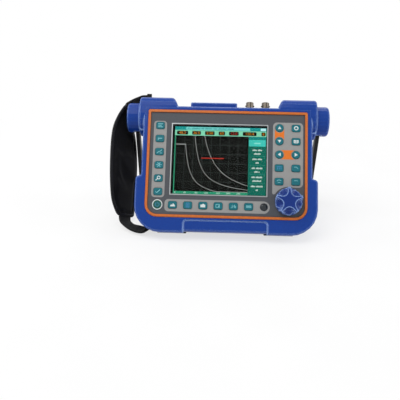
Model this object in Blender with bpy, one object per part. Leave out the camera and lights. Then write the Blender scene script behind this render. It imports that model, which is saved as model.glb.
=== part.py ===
"""Portable ultrasonic flaw detector: moulded case, keypad, rotary knob, folding stand and hand strap.

The case is modelled upright, front face at y = 0 looking along -Y, and then leaned back on its stand by
the empty that every piece hangs from. Metres, +Z up. The origin lies on the table under the stand's foot.
"""

import math

import bmesh
import bpy
from mathutils import Matrix, Vector

GAP = 0.0003
ROUND = 24

# Screen, which everything on the face is laid out around, from the panel's centre.
SCREEN_X = -0.0094
SCREEN_Z = 0.0055
SCREEN_W = 0.1180
SCREEN_H = 0.0890
FRAME_LINE = 0.0012
LCD_THICK = 0.0060
SCREEN_LEFT = SCREEN_X - SCREEN_W / 2
SCREEN_RIGHT = SCREEN_X + SCREEN_W / 2
SCREEN_TOP = SCREEN_Z + SCREEN_H / 2
SCREEN_BOTTOM = SCREEN_Z - SCREEN_H / 2

# Keys: size, then where each field stands beside or under the screen.
KEY_W = 0.0105
KEY_H = 0.0088
KEY_ROUND = 0.0020
ARROW_R = 0.0049
KEY_PROUD = 0.0012
KEY_TRAVEL = 0.0008
FLANGE = 0.0008
LEFT_X = SCREEN_LEFT - 0.0146
BOTTOM_Z_ROW = SCREEN_BOTTOM - 0.0130
RIGHT_SPACING = 0.0203
RIGHT_X = SCREEN_RIGHT + 0.0144
RIGHT_XS = (RIGHT_X, RIGHT_X + RIGHT_SPACING)
KEYS_TOP_Z = SCREEN_TOP - 0.0030
LAMP_X = SCREEN_RIGHT - 0.0034
LAMP_R = 0.0040
BOTTOM_LEFT_X = SCREEN_LEFT + 0.0039
BOTTOM_KEYS = 6
BOTTOM_PITCH = (LAMP_X - BOTTOM_LEFT_X) / BOTTOM_KEYS
LEFT_KEYS = 6
POWER_SPACE = 0.0160
LEFT_PITCH = (KEYS_TOP_Z - BOTTOM_Z_ROW - POWER_SPACE) / (LEFT_KEYS - 1)

# Knob and encoder.
KNOB_X = RIGHT_X + 0.0116
KNOB_Z = BOTTOM_Z_ROW + 0.0070
KNOB_R = 0.0166
KNOB_HEIGHT = 0.0125
KNOB_BACK_Y = -0.0006
KNOB_SCALLOPS = 5
SCALLOP_START = math.radians(54)
SCALLOP_SPREAD = 0.0062
SCALLOP_CENTRE = 0.0142
SHAFT_R = 0.0030
SHAFT_IN = 0.0080
PUSH_TRAVEL = 0.0006
BUSH_R = 0.0045
ROTOR_R = 0.0052
ENCODER_Y = 0.0082
ENCODER_HALF = 0.0068
KNOB_SPACE = 0.0084
RIGHT_ROWS = 5
RIGHT_PITCH = (KEYS_TOP_Z - KNOB_Z - KNOB_R - KNOB_SPACE) / (RIGHT_ROWS - 1)

# Panel and trim.
TRIM_HALF = RIGHT_XS[1] + 0.0142
TRIM_TOP = SCREEN_TOP + 0.0175
TRIM_BOTTOM = BOTTOM_Z_ROW - 0.0150
TRIM_WIDTH = 0.0032
TRIM_CORNER = 0.0150
TRIM_TOP_CORNER = 0.0015
TRIM_PROUD = 0.0008
LEDGE = 0.0070
LEDGE_Y = 0.0030
PANEL_Y = 0.0006
PANEL_THICK = 0.0021

# Case, front view: bezel round the trim, waist, lobes and ears.
WAIST_HALF = TRIM_HALF + 0.0062
LOBE_HALF = WAIST_HALF + 0.0068
EAR_HALF = WAIST_HALF + 0.0061
EAR_INNER = 0.0620
TOP_Z = TRIM_TOP + 0.0055
BOTTOM_Z = TRIM_BOTTOM - 0.0180
LOBE_TALL = 0.0690
SHOULDER_Z = BOTTOM_Z + LOBE_TALL
LOBE_CORNER = 0.0320
SHOULDER_ROUND = 0.0047
SHOULDER_HOLLOW = 0.0020
EDGE_ROUND = 0.0030

# Case, side view.
SPLIT_Y = 0.0100
CASE_DEPTH = 0.0480
LIP = 0.0026
WALL = 0.0032
FRONT_WALL = 0.0060
LEAN = math.radians(33)
CHAMFER_Y = 0.0230

# Planes outside the whole case, where cutters end.
FAR_X = EAR_HALF + 0.0400
FAR_Y = CASE_DEPTH + 0.0120
FAR_TOP = TOP_Z + 0.0270
FAR_LOW = BOTTOM_Z - 0.0150

# Ears and barrels that carry the stand.
AXIS_Y = 0.0240
AXIS_Z = TOP_Z - 0.0100
EAR_FLAT_Z = TOP_Z + 0.0005
EAR_BROW = 0.0130
EAR_SET = 0.0001
EAR_DROP = 0.0240
EAR_BACK_Y = 0.0436
EAR_FULLNESS = 0.87
FLANK_SLOPE = 0.42
BARREL_R = 0.0150
BORE_DEEP = 0.0105

# Recess in the lower bezel, back edge and screw wells.
RECESS_HALF = 0.0505
RECESS_TOP = TRIM_BOTTOM - 0.0030
RECESS_CORNER = 0.0040
RECESS_RIM = 0.0008
RECESS_DEEP = 0.0013
RECESS_LIFT = 0.0017
BACK_ROUND = 0.0050
SCREW_HEAD_R = 0.0034
SCREW_DEEP = 0.0026
UPPER_SCREW = (WAIST_HALF - 0.0167, AXIS_Z - 0.0330)
LOWER_SCREW = (LOBE_HALF - 0.0215, BOTTOM_Z + 0.0370)
SCREWS = [(side * x, z) for x, z in (UPPER_SCREW, LOWER_SCREW) for side in (-1, 1)]

# Stand and hubs.
HUB_R = 0.0186
HUB_LONG = 0.0162
HUB_OUT = EAR_HALF + HUB_LONG
HUB_END = 0.0040
WASHER_THICK = 0.0024
LEG_THICK = 0.0048
LEG_IN = EAR_HALF + WASHER_THICK + GAP
LEG_OUT = LEG_IN + LEG_THICK
LEG_WIDTH = 0.0120
EYE_R = 0.0140
PIN_R = 0.0047
WASHER_R = 0.0130
STAND_OPEN = math.radians(48)
STAND_FOLDED = math.radians(15)
BEND_R = 0.0120
SOLE_THICK = 0.0035
SOLE_HALF = LEG_IN - 0.0185
FOOT_THICK = 0.0022
FOOT_LONG = 0.0240
FOOT_WIDE = 0.0360
FOOT_X = (LOBE_HALF - 0.0275 - FOOT_WIDE, LOBE_HALF - 0.0275)

# Jacks and port cover on the top.
JACK_XS = (EAR_INNER - 0.0340, EAR_INNER - 0.0140)
JACK_Y = 0.0250
JACK_TOP = TOP_Z + 0.0135
JACK_R = 0.00485
JACK_THREAD_R = 0.0047
JACK_FLANGE_R = 0.0072
JACK_BORE_R = 0.0040
COVER_LONG = 0.0586
COVER_DEEP = 0.0250
COVER_X = (-EAR_INNER + 0.0150, -EAR_INNER + 0.0150 + COVER_LONG)
COVER_Y = (0.0130, 0.0130 + COVER_DEEP)
COVER_TOP = TOP_Z + 0.0090
COVER_WALL = 0.0016
HINGE_R = 0.0019
HINGE_PIN_R = 0.0008
HINGE_Y = COVER_Y[1] + 0.0014
HINGE_Z = TOP_Z - LIP + GAP + HINGE_R
KNUCKLE_X = (COVER_X[0] + 0.0190, COVER_X[0] + 0.0390)
PORT_X = (COVER_X[0] + 0.0080, COVER_X[1] - 0.0080)
PORT_Y = (COVER_Y[0] + 0.0055, COVER_Y[1] - 0.0065)
PORT_TOP = TOP_Z + 0.0045
PORT_LOW = TOP_Z - 0.0130

# Boards and battery.
BAY_HALF = 0.0560
BAY_Z = (BOTTOM_Z + 0.0230, BOTTOM_Z + 0.0790)
BAY_FRONT_Y = 0.0270
BOARD_Y = 0.0063
SWITCH_HALF = 0.0019
BOARD_THICK = 0.0016
MAIN_BOARD_Y = 0.0120
MAIN_BOARD_HALF = KNOB_X - ENCODER_HALF - 0.0028
MAIN_BOARD_Z = (BOTTOM_Z + 0.0290, TOP_Z - 0.0170)
BOARD_BACK = MAIN_BOARD_Y + BOARD_THICK
POST_R = 0.0032
LOWER_POST = (MAIN_BOARD_HALF - 0.0040, MAIN_BOARD_Z[0] + 0.0060)
UPPER_POST = (MAIN_BOARD_HALF - 0.0080, MAIN_BOARD_Z[1] - 0.0040)
POSTS = [(side * x, z) for x, z in (LOWER_POST, UPPER_POST) for side in (-1, 1)]
SOUNDER = (-0.0300, MAIN_BOARD_Z[1] - 0.0360)
COVER_RIM = 0.0030
COVER_THICK = 0.0019
BOARD_LAP = 0.0035
GRIP_RIBS = 5

# Hand strap: width of the webbing, thickness of webbing and pad, and their pins.
WEB_WIDTH = 0.0200
WEB_THICK = 0.0020
PAD_THICK = 0.0070
STRAP_PIN_R = 0.0013
STRAP_EYE_R = 0.0031
STRAP_PIN = (-LOBE_HALF + 0.0185, BOTTOM_Z + 0.0088)
STRAP_PIN_Y = (0.0103, 0.0334)
STRAP_POCKET_Y = (0.0115, 0.0318)
STAPLE_X = -EAR_HALF + 0.0098
STAPLE_Y = 0.0300
STAPLE_TILT = math.radians(-24)
STAPLE_RISE = 0.0042
STAPLE_HALF = WEB_WIDTH / 2 + 0.0008

COLOURS = {
    "blue": ((0.030, 0.075, 0.320), 0.35, 0.0),
    "orange": ((0.650, 0.170, 0.030), 0.45, 0.0),
    "panel_grey": ((0.095, 0.100, 0.110), 0.50, 0.0),
    "silver": ((0.550, 0.560, 0.570), 0.30, 1.0),
    "glass": ((0.030, 0.034, 0.038), 0.08, 0.0),
    "teal": ((0.010, 0.190, 0.240), 0.45, 0.0),
    "white": ((0.700, 0.700, 0.690), 0.45, 0.0),
    "black": ((0.012, 0.012, 0.014), 0.55, 0.0),
    "rubber": ((0.020, 0.020, 0.021), 0.80, 0.0),
    "nickel": ((0.600, 0.590, 0.560), 0.22, 1.0),
    "steel": ((0.420, 0.420, 0.430), 0.35, 1.0),
    "board_green": ((0.010, 0.110, 0.045), 0.50, 0.0),
    "cloth": ((0.014, 0.014, 0.016), 0.90, 0.0),
    "cell": ((0.030, 0.090, 0.160), 0.50, 0.0),
}


def material(name):
    """Principled material of a named finish."""
    found = bpy.data.materials.get(name)
    if found:
        return found
    colour, roughness, metallic = COLOURS[name]
    made = bpy.data.materials.new(name)
    made.use_nodes = True
    shader = made.node_tree.nodes["Principled BSDF"]
    shader.inputs["Base Color"].default_value = (*colour, 1.0)
    shader.inputs["Roughness"].default_value = roughness
    shader.inputs["Metallic"].default_value = metallic
    made.diffuse_color = (*colour, 1.0)
    return made


def clear_scene():
    for obj in list(bpy.data.objects):
        bpy.data.objects.remove(obj, do_unlink=True)


def add(name, shape, finish, place=(0, 0, 0), turn=0.0):
    """Object from a bmesh, hung from the leaned case; turn is its angle about X."""
    bmesh.ops.remove_doubles(shape, verts=shape.verts, dist=1e-6)
    bmesh.ops.recalc_face_normals(shape, faces=shape.faces)
    mesh = bpy.data.meshes.new(name)
    shape.to_mesh(mesh)
    shape.free()
    return add_mesh(name, mesh, finish, place, turn)


def add_mesh(name, mesh, finish, place=(0, 0, 0), turn=0.0):
    if not mesh.materials:
        mesh.materials.append(material(finish))
    mesh.shade_smooth()
    mesh.set_sharp_from_angle(angle=math.radians(35))
    obj = bpy.data.objects.new(name, mesh)
    obj.location = place
    obj.rotation_euler.x = turn
    obj.parent = bpy.data.objects["case_frame"]
    bpy.context.scene.collection.objects.link(obj)
    return obj


def cutter(name, shape, place=(0, 0, 0), turn=0.0):
    obj = add(name, shape, "black", place, turn)
    obj.hide_render = True
    obj.display_type = "WIRE"
    return obj


def boolean(target, *tools, operation="DIFFERENCE"):
    for tool in tools:
        modifier = target.modifiers.new(tool.name, "BOOLEAN")
        modifier.operation = operation
        modifier.object = tool


def rounded(corners, steps=4):
    """Closed outline from corners (across, up, radius, and steps if its own), each turned into an arc."""
    outline = []
    for index, (across, up, radius, *own_steps) in enumerate(corners):
        here = Vector((across, up))
        before = (Vector(corners[index - 1][:2]) - here).normalized()
        after = (Vector(corners[(index + 1) % len(corners)][:2]) - here).normalized()
        if radius <= 0:
            outline.append(here)
            continue
        half = before.angle(after) / 2
        reach = radius / math.tan(half)
        centre = here + (before + after).normalized() * radius / math.sin(half)
        start = here + before * reach - centre
        sweep = start.angle_signed(here + after * reach - centre)
        count = max(1, round(own_steps[0] if own_steps else steps * abs(sweep) / (math.pi / 2)))
        for step in range(count + 1):
            outline.append(centre + Matrix.Rotation(-sweep * step / count, 2) @ start)
    return outline


def box_outline(low, high, radius=0.0, steps=4):
    """Rectangle between two corners, with one radius."""
    (left, bottom), (right, top) = low, high
    return rounded(
        [(left, bottom, radius), (right, bottom, radius), (right, top, radius), (left, top, radius)], steps
    )


def ring_point(point, axis, along):
    across, up = point
    return {"X": (along, across, up), "Y": (across, along, up), "Z": (across, up, along)}[axis]


def loft(rings, axis="Y"):
    """Closed solid through outlines (points, position along the axis) of equal length."""
    shape = bmesh.new()
    rows = []
    for outline, along in rings:
        rows.append([shape.verts.new(ring_point(point, axis, along)) for point in outline])
    for low, high in zip(rows, rows[1:]):
        for index in range(len(low)):
            after = (index + 1) % len(low)
            shape.faces.new((low[index], low[after], high[after], high[index]))
    shape.faces.new(rows[0][::-1])
    shape.faces.new(rows[-1])
    return shape


def prism(outline, start, end, axis="Y"):
    return loft([(outline, start), (outline, end)], axis)


def block(low, high):
    """Box between two corners."""
    return prism(box_outline((low[0], low[2]), (high[0], high[2])), low[1], high[1])


def turned(profile, axis="Y", centre=(0.0, 0.0), sides=ROUND):
    """Solid of revolution: profile of (radius, position along the axis), both ends on the axis."""
    shape = bmesh.new()
    rows = []
    for radius, along in profile:
        if radius < 1e-7:
            rows.append([shape.verts.new(ring_point(centre, axis, along))])
            continue
        circle = []
        for side in range(sides):
            angle = 2 * math.pi * side / sides
            point = (centre[0] + radius * math.cos(angle), centre[1] + radius * math.sin(angle))
            circle.append(shape.verts.new(ring_point(point, axis, along)))
        rows.append(circle)
    for low, high in zip(rows, rows[1:]):
        for side in range(sides):
            after = (side + 1) % sides
            corners = [low[side % len(low)], low[after % len(low)]]
            corners += [high[after % len(high)], high[side % len(high)]]
            shape.faces.new(list(dict.fromkeys(corners)))
    return shape


def tube(inner, outer, start, end, axis="Y", centre=(0.0, 0.0), sides=ROUND):
    """Plain ring: washer, sleeve or bush."""
    shape = bmesh.new()
    rows = []
    for radius, along in ((inner, start), (outer, start), (outer, end), (inner, end)):
        circle = []
        for side in range(sides):
            angle = 2 * math.pi * side / sides
            point = (centre[0] + radius * math.cos(angle), centre[1] + radius * math.sin(angle))
            circle.append(shape.verts.new(ring_point(point, axis, along)))
        rows.append(circle)
    for index in range(4):
        low, high = rows[index], rows[(index + 1) % 4]
        for side in range(sides):
            after = (side + 1) % sides
            shape.faces.new((low[side], low[after], high[after], high[side]))
    return shape


def rod(radius, start, end, axis="Y", centre=(0.0, 0.0), sides=ROUND):
    return turned([(0, start), (radius, start), (radius, end), (0, end)], axis, centre, sides)


def mirrored(outline):
    """Right half outline, top to bottom, completed with its mirror image."""
    return outline + [(-point[0], point[1]) for point in reversed(outline)]


def arc(centre, radii, start, end, count, power=1.0):
    """Points of an elliptic arc; a power below 1 swells it towards a box."""
    points = []
    for step in range(count + 1):
        angle = math.radians(start + (end - start) * step / count)
        across = math.copysign(abs(math.cos(angle)) ** power, math.cos(angle))
        up = math.copysign(abs(math.sin(angle)) ** power, math.sin(angle))
        points.append((centre[0] + radii[0] * across, centre[1] + radii[1] * up))
    return points


def shrunk(outline, amount):
    """Outline of the same point count, moved inward by an amount."""
    ring = []
    area = sum(a[0] * b[1] - b[0] * a[1] for a, b in zip(outline, outline[1:] + outline[:1]))
    inward = 1 if area > 0 else -1
    for index, point in enumerate(outline):
        before = (Vector(point) - Vector(outline[index - 1])).normalized()
        after = (Vector(outline[(index + 1) % len(outline)]) - Vector(point)).normalized()
        normal = Vector((-before.y - after.y, before.x + after.x)).normalized() * inward
        half = math.cos(before.angle(after) / 2)
        ring.append(Vector(point) + normal * amount / half)
    return ring


def rounding(radius, steps=3):
    """Pairs (inward, along) down a rounded edge, from the end face to the full outline."""
    pairs = []
    for step in range(steps + 1):
        turn = math.pi / 2 * step / steps
        pairs.append((radius * (1 - math.sin(turn)), radius * (1 - math.cos(turn))))
    return pairs


def skin(rows):
    """Closed solid through rings of 3-D points, flat at both ends."""
    shape = bmesh.new()
    made = [[shape.verts.new(point) for point in row] for row in rows]
    for low, high in zip(made, made[1:]):
        for index in range(len(low)):
            after = (index + 1) % len(low)
            shape.faces.new((low[index], low[after], high[after], high[index]))
    shape.faces.new(made[0][::-1])
    shape.faces.new(made[-1])
    return shape


# Case


def case_outline(inset):
    """Front view of the case without its ears: waist, round shoulders and round lobes."""
    step = LOBE_HALF - WAIST_HALF
    convex = max(SHOULDER_ROUND - inset, 0.0004)
    hollow = min(SHOULDER_HOLLOW + inset, step - convex - 0.00005)
    corners = [
        (0, TOP_Z - inset, 0),
        (WAIST_HALF - inset, TOP_Z - inset, 0),
        (WAIST_HALF - inset, SHOULDER_Z - inset, hollow, 2),
        (LOBE_HALF - inset, SHOULDER_Z - inset, convex, 3),
        (LOBE_HALF - inset, BOTTOM_Z + inset, LOBE_CORNER - inset, 6),
        (0, BOTTOM_Z + inset, 0),
    ]
    # The two middle points only give the corners their directions.
    return mirrored(rounded(corners, 5)[1:-1])


def ear_profile():
    """Side view of ear and barrel: round brow, falling back, underside round about the stand's axis."""
    crown = EAR_FLAT_Z + EAR_BROW - AXIS_Z
    brow = arc((EAR_BROW, EAR_FLAT_Z), (EAR_BROW - EAR_SET, EAR_BROW), 180, 90, 4)
    back = arc((EAR_BROW, AXIS_Z), (EAR_BACK_Y - EAR_BROW, crown), 90, 0, 6, EAR_FULLNESS)
    under = arc((AXIS_Y, AXIS_Z), (EAR_BACK_Y - AXIS_Y, EAR_DROP), 0, -90, 4)
    front = arc((AXIS_Y, AXIS_Z), (AXIS_Y - EAR_SET, EAR_DROP), -90, -180, 5)
    return brow + back[1:] + under[1:] + front[1:]


def ear(side):
    """Whole ear and barrel of one side, with rounded ends and a sloping inner flank."""
    profile = ear_profile()
    rows = []
    for inward, along in rounding(EDGE_ROUND):
        ring = shrunk(profile, inward)
        rows.append([(side * (EAR_INNER + along + (z - TOP_Z) * FLANK_SLOPE), y, z) for y, z in ring])
    for inward, along in reversed(rounding(EDGE_ROUND)):
        rows.append([(side * (EAR_HALF - along), y, z) for y, z in shrunk(profile, inward)])
    return skin(rows)


def trim_outline(inset):
    """Panel-shaped outline: nearly square corners above, round ones below."""
    half = TRIM_HALF - inset
    top = TRIM_TOP - inset
    bottom = TRIM_BOTTOM + inset
    upper = max(TRIM_TOP_CORNER - inset, 0.0004)
    lower = max(TRIM_CORNER - inset, 0.002)
    upper_corners = [(-half, top, upper, 1), (half, top, upper, 1)]
    return rounded(upper_corners + [(half, bottom, lower), (-half, bottom, lower)], 5)


def make_front_housing():
    """Bezel: ears, waist, lobes, a stepped pocket for trim and panel, and the recess below them."""
    rings = [(case_outline(inward), along) for inward, along in rounding(EDGE_ROUND)]
    rings.append((case_outline(0), SPLIT_Y + 0.002))
    housing = add("front_housing", loft(rings), "blue")
    ears = [cutter(f"ear_tool_front_{side}", ear(side)) for side in (-1, 1)]
    boolean(housing, *ears, operation="UNION")
    behind = cutter("behind_split", block((-FAR_X, SPLIT_Y, FAR_LOW), (FAR_X, FAR_Y, FAR_TOP)))
    inside = cutter("front_inside", prism(case_outline(LIP + WALL), FRONT_WALL, SPLIT_Y + 0.003))
    pocket = cutter("trim_pocket", prism(trim_outline(-GAP), -0.001, LEDGE_Y + GAP))
    opening = cutter("panel_opening", prism(trim_outline(LEDGE), LEDGE_Y, FRONT_WALL + 0.001))
    recess = cutter("recess", make_recess())
    under = cutter("recess_underside", make_underside())
    boolean(housing, behind, inside, pocket, opening, recess, under)
    return housing


def make_recess():
    """Shallow recess in the lower bezel, with a chamfered rim."""
    corners = [
        (-RECESS_HALF, RECESS_TOP, RECESS_CORNER),
        (RECESS_HALF, RECESS_TOP, RECESS_CORNER),
        (RECESS_HALF, BOTTOM_Z - 0.002, 0),
        (-RECESS_HALF, BOTTOM_Z - 0.002, 0),
    ]
    outline = rounded(corners)
    rim = shrunk(outline, -RECESS_RIM)
    return loft([(rim, -RECESS_RIM * 0.01), (outline, RECESS_RIM), (outline, RECESS_DEEP)])


def make_underside():
    """What is taken off under the recess, so that its lower edge lies higher than the lobes."""
    lift = BOTTOM_Z + RECESS_LIFT
    edge = arc((RECESS_DEEP + EDGE_ROUND, lift + EDGE_ROUND), (EDGE_ROUND, EDGE_ROUND), 180, 270, 4)
    behind = SPLIT_Y + 0.002
    outline = [(-0.002, lift + EDGE_ROUND), *edge, (behind, lift), (behind, FAR_LOW), (-0.002, FAR_LOW)]
    return prism(outline, -RECESS_HALF, RECESS_HALF, "X")


def chamfer_point(along, out):
    """Point of the resting facet's side view: distance up the facet, and out from it."""
    low = BOTTOM_Z + LIP
    return (
        CHAMFER_Y + along * math.cos(LEAN) + out * math.sin(LEAN),
        low + along * math.sin(LEAN) - out * math.cos(LEAN),
    )


def make_rear_housing():
    """Back shell with barrels, board posts, battery bay, port opening and a facet that it rests on."""
    start = SPLIT_Y + GAP
    rings = [(case_outline(LIP), start - 0.002)]
    for inward, along in reversed(rounding(BACK_ROUND)):
        rings.append((case_outline(LIP + inward), CASE_DEPTH - along))
    housing = add("rear_housing", loft(rings), "blue")
    ears = [cutter(f"ear_tool_rear_{side}", ear(side)) for side in (-1, 1)]
    knuckle = cutter("knuckle_tool", make_knuckle())
    boolean(housing, *ears, knuckle, operation="UNION")
    before = cutter("before_split", block((-FAR_X, -0.01, FAR_LOW), (FAR_X, start, FAR_TOP)))
    far_facet = [chamfer_point(0.06, 0.04), chamfer_point(-0.03, 0.04)]
    facet = [chamfer_point(-0.03, 0), chamfer_point(0.06, 0), *far_facet]
    rest = cutter("resting_facet", prism(facet, -FAR_X, FAR_X, "X"))
    inside = cutter("rear_inside", prism(case_outline(LIP + WALL), start - 0.003, CASE_DEPTH - WALL))
    inner_facet = [chamfer_point(-0.03, -WALL), chamfer_point(0.06, -WALL), *far_facet]
    keep = cutter("facet_wall", prism(inner_facet, -FAR_X, FAR_X, "X"))
    keep_bay = cutter("bay_wall", make_bay(WALL, BAY_FRONT_Y - WALL))
    keep_pocket = cutter("pocket_wall", make_strap_pocket(0.0022))
    boolean(inside, keep, keep_bay, keep_pocket)
    for index, place in enumerate(POSTS):
        boolean(inside, cutter(f"post_{index}", rod(POST_R, BOARD_BACK + GAP, FAR_Y, "Y", place, 12)))
    bay = cutter("bay", make_bay(0.0, BAY_FRONT_Y))
    rebate = cutter("cover_rebate", make_bay(COVER_RIM, CASE_DEPTH - COVER_THICK - GAP))
    ports_low = (PORT_X[0] - GAP, PORT_Y[0] - GAP, PORT_LOW)
    ports = cutter("port_opening", block(ports_low, (PORT_X[1] + GAP, PORT_Y[1] + GAP, TOP_Z + 0.002)))
    boolean(housing, before, rest, inside, bay, rebate, ports)
    for index, x in enumerate(JACK_XS):
        hole = rod(JACK_THREAD_R + GAP, PORT_LOW, TOP_Z + 0.007, "Z", (x, JACK_Y), 20)
        boolean(housing, cutter(f"jack_hole_{index}", hole))
    for side in (-1, 1):
        ends = (side * (EAR_HALF - BORE_DEEP), side * (EAR_HALF + 0.002))
        bore = rod(PIN_R + GAP, *ends, "X", (AXIS_Y, AXIS_Z), 20)
        ends = (side * (EAR_INNER + 0.004), side * (EAR_HALF - BORE_DEEP - WALL))
        hollow = rod(BARREL_R, *ends, "X", (AXIS_Y, AXIS_Z), 20)
        boolean(housing, cutter(f"bore_{side}", bore), cutter(f"barrel_hollow_{side}", hollow))
    pin_hole = rod(HINGE_PIN_R + 0.00025, COVER_X[0] - 0.003, COVER_X[1] + 0.008, "X", (HINGE_Y, HINGE_Z), 12)
    strap_hole = rod(STRAP_PIN_R + GAP, 0.0, STRAP_PIN_Y[1] + GAP, "Y", STRAP_PIN, 12)
    strap_pocket = cutter("strap_pocket", make_strap_pocket())
    boolean(housing, cutter("hinge_hole", pin_hole), strap_pocket, cutter("strap_pin_hole", strap_hole))
    for index, (x, z) in enumerate(SCREWS):
        hole = rod(SCREW_HEAD_R, CASE_DEPTH - SCREW_DEEP, FAR_Y, "Y", (x, z), 16)
        boolean(housing, cutter(f"screw_hole_{index}", hole))
    return housing


def make_bay(grow, front):
    """Room for the battery, open at the back, or with its walls or its cover's rim added."""
    return block((-BAY_HALF - grow, front, BAY_Z[0] - grow), (BAY_HALF + grow, FAR_Y, BAY_Z[1] + grow))


def make_knuckle():
    """The housing's own hinge knuckle behind the port cover."""
    low = TOP_Z - LIP - 0.001
    outline = [(HINGE_Y - HINGE_R, low), (HINGE_Y + HINGE_R, low)]
    outline += arc((HINGE_Y, HINGE_Z), (HINGE_R, HINGE_R), 0, 180, 8)
    return prism(outline, *KNUCKLE_X, "X")


def make_strap_pocket(wall=0.0):
    """Pocket in the lower left corner round the strap's pin, or with a wall the block it is sunk in."""
    x, z = STRAP_PIN
    reach = STRAP_EYE_R + 0.0013 + wall
    low = (x - 0.008 - wall, STRAP_POCKET_Y[0] - 2 * wall, FAR_LOW)
    return block(low, (x + reach, STRAP_POCKET_Y[1] + wall, z + reach))


# Panel, screen and boards


def key_places():
    """Name, place (x, z) and form of every key."""
    places = []
    for row in range(LEFT_KEYS):
        places.append((f"key_left_{row + 1}", (LEFT_X, KEYS_TOP_Z - row * LEFT_PITCH), "square"))
    for column in range(BOTTOM_KEYS):
        x = BOTTOM_LEFT_X + column * BOTTOM_PITCH
        places.append((f"key_bottom_{column + 1}", (x, BOTTOM_Z_ROW), "square"))
    places.append(("key_power", (LEFT_X, BOTTOM_Z_ROW), "round"))
    rows = [KEYS_TOP_Z - row * RIGHT_PITCH for row in range(RIGHT_ROWS)]
    left, right = RIGHT_XS
    arrows = {"arrow_up": (left, rows[0]), "arrow_down": (left, rows[1])}
    arrows.update({"arrow_left": (left, rows[2]), "arrow_right": (right, rows[2])})
    places += [(name, place, "round") for name, place in arrows.items()]
    others = [(right, rows[0]), (right, rows[1])]
    others += [(x, z) for z in rows[3:] for x in RIGHT_XS]
    places += [(f"key_right_{index + 1}", place, "square") for index, place in enumerate(others)]
    return places


def key_outline(form, grow, place=(0.0, 0.0)):
    if form == "round":
        return arc(place, (ARROW_R + grow, ARROW_R + grow), 0, 345, 23)[::2]
    half_w, half_h = KEY_W / 2 + grow, KEY_H / 2 + grow
    low = (place[0] - half_w, place[1] - half_h)
    high = (place[0] + half_w, place[1] + half_h)
    return box_outline(low, high, max(KEY_ROUND + grow, 0.0004), 2)


def key_mesh(form):
    """Key cap with a chamfered face, a retaining flange behind the panel and a stem."""
    face = PANEL_Y - KEY_PROUD
    back = PANEL_Y + PANEL_THICK + GAP
    stem_end = BOARD_Y - GAP - KEY_TRAVEL - GAP
    rings = [
        (key_outline(form, -0.0005), face),
        (key_outline(form, 0), face + 0.0005),
        (key_outline(form, 0), back),
        (key_outline(form, 0.0009), back),
        (key_outline(form, 0.0009), back + FLANGE),
        (key_outline(form, -0.0026), back + FLANGE),
        (key_outline(form, -0.0026), stem_end),
    ]
    return loft(rings)


def make_keys():
    meshes = {}
    for name, (x, z), form in key_places():
        if form in meshes:
            add_mesh(name, meshes[form], "teal", (x, 0, z))
        else:
            meshes[form] = add(name, key_mesh(form), "teal", (x, 0, z)).data


def make_panel():
    """Trim ring, panel plate, screen frame, window, status lamp and display."""
    back = PANEL_Y + PANEL_THICK
    trim = add("trim_ring", loft(trim_rings(0)), "orange")
    boolean(trim, cutter("trim_inside", prism(trim_outline(TRIM_WIDTH), -0.01, 0.01)))
    panel = add("front_panel", prism(trim_outline(TRIM_WIDTH + GAP), PANEL_Y, back), "panel_grey")
    for name, place, form in key_places():
        boolean(panel, cutter(f"hole_{name}", prism(key_outline(form, GAP, place), -0.002, 0.006)))
    shaft = rod(BUSH_R + GAP, -0.002, 0.006, "Y", (KNOB_X, KNOB_Z), 16)
    lamp = rod(LAMP_R + GAP, -0.002, 0.006, "Y", (LAMP_X, BOTTOM_Z_ROW), 16)
    screen = prism(screen_outline(-GAP), -0.002, 0.006)
    boolean(panel, cutter("shaft_hole", shaft), cutter("lamp_hole", lamp), cutter("screen_hole", screen))
    frame = add("screen_frame", prism(screen_outline(0), PANEL_Y - 0.0004, back), "silver")
    boolean(frame, cutter("frame_inside", prism(screen_outline(FRAME_LINE), -0.01, 0.01)))
    add("screen_window", prism(screen_outline(FRAME_LINE + GAP), PANEL_Y + 0.0003, back), "glass")
    low = (SCREEN_LEFT - 0.0015, back + GAP, SCREEN_BOTTOM - 0.001)
    high = (SCREEN_RIGHT + 0.0015, back + GAP + LCD_THICK, SCREEN_TOP + 0.001)
    add("lcd_module", block(low, high), "steel")
    rim = LAMP_R + 0.001
    lens = [(0, PANEL_Y - 0.0003), (LAMP_R - 0.0012, PANEL_Y), (LAMP_R, PANEL_Y + 0.0006)]
    lens += [(LAMP_R, back + GAP), (rim, back + GAP), (rim, back + 0.0015), (0, back + 0.0015)]
    add("status_lamp", turned(lens, "Y", (LAMP_X, BOTTOM_Z_ROW), 16), "black")


def trim_rings(inset):
    edge = 0.0006
    front = -TRIM_PROUD
    full = trim_outline(inset)
    return [(trim_outline(inset + edge), front), (full, front + edge), (full, LEDGE_Y)]


def screen_outline(inset):
    half_w = (SCREEN_W + FRAME_LINE) / 2 - inset
    half_h = (SCREEN_H + FRAME_LINE) / 2 - inset
    low = (SCREEN_X - half_w, SCREEN_Z - half_h)
    return box_outline(low, (SCREEN_X + half_w, SCREEN_Z + half_h), 0.0008, 2)


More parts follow.
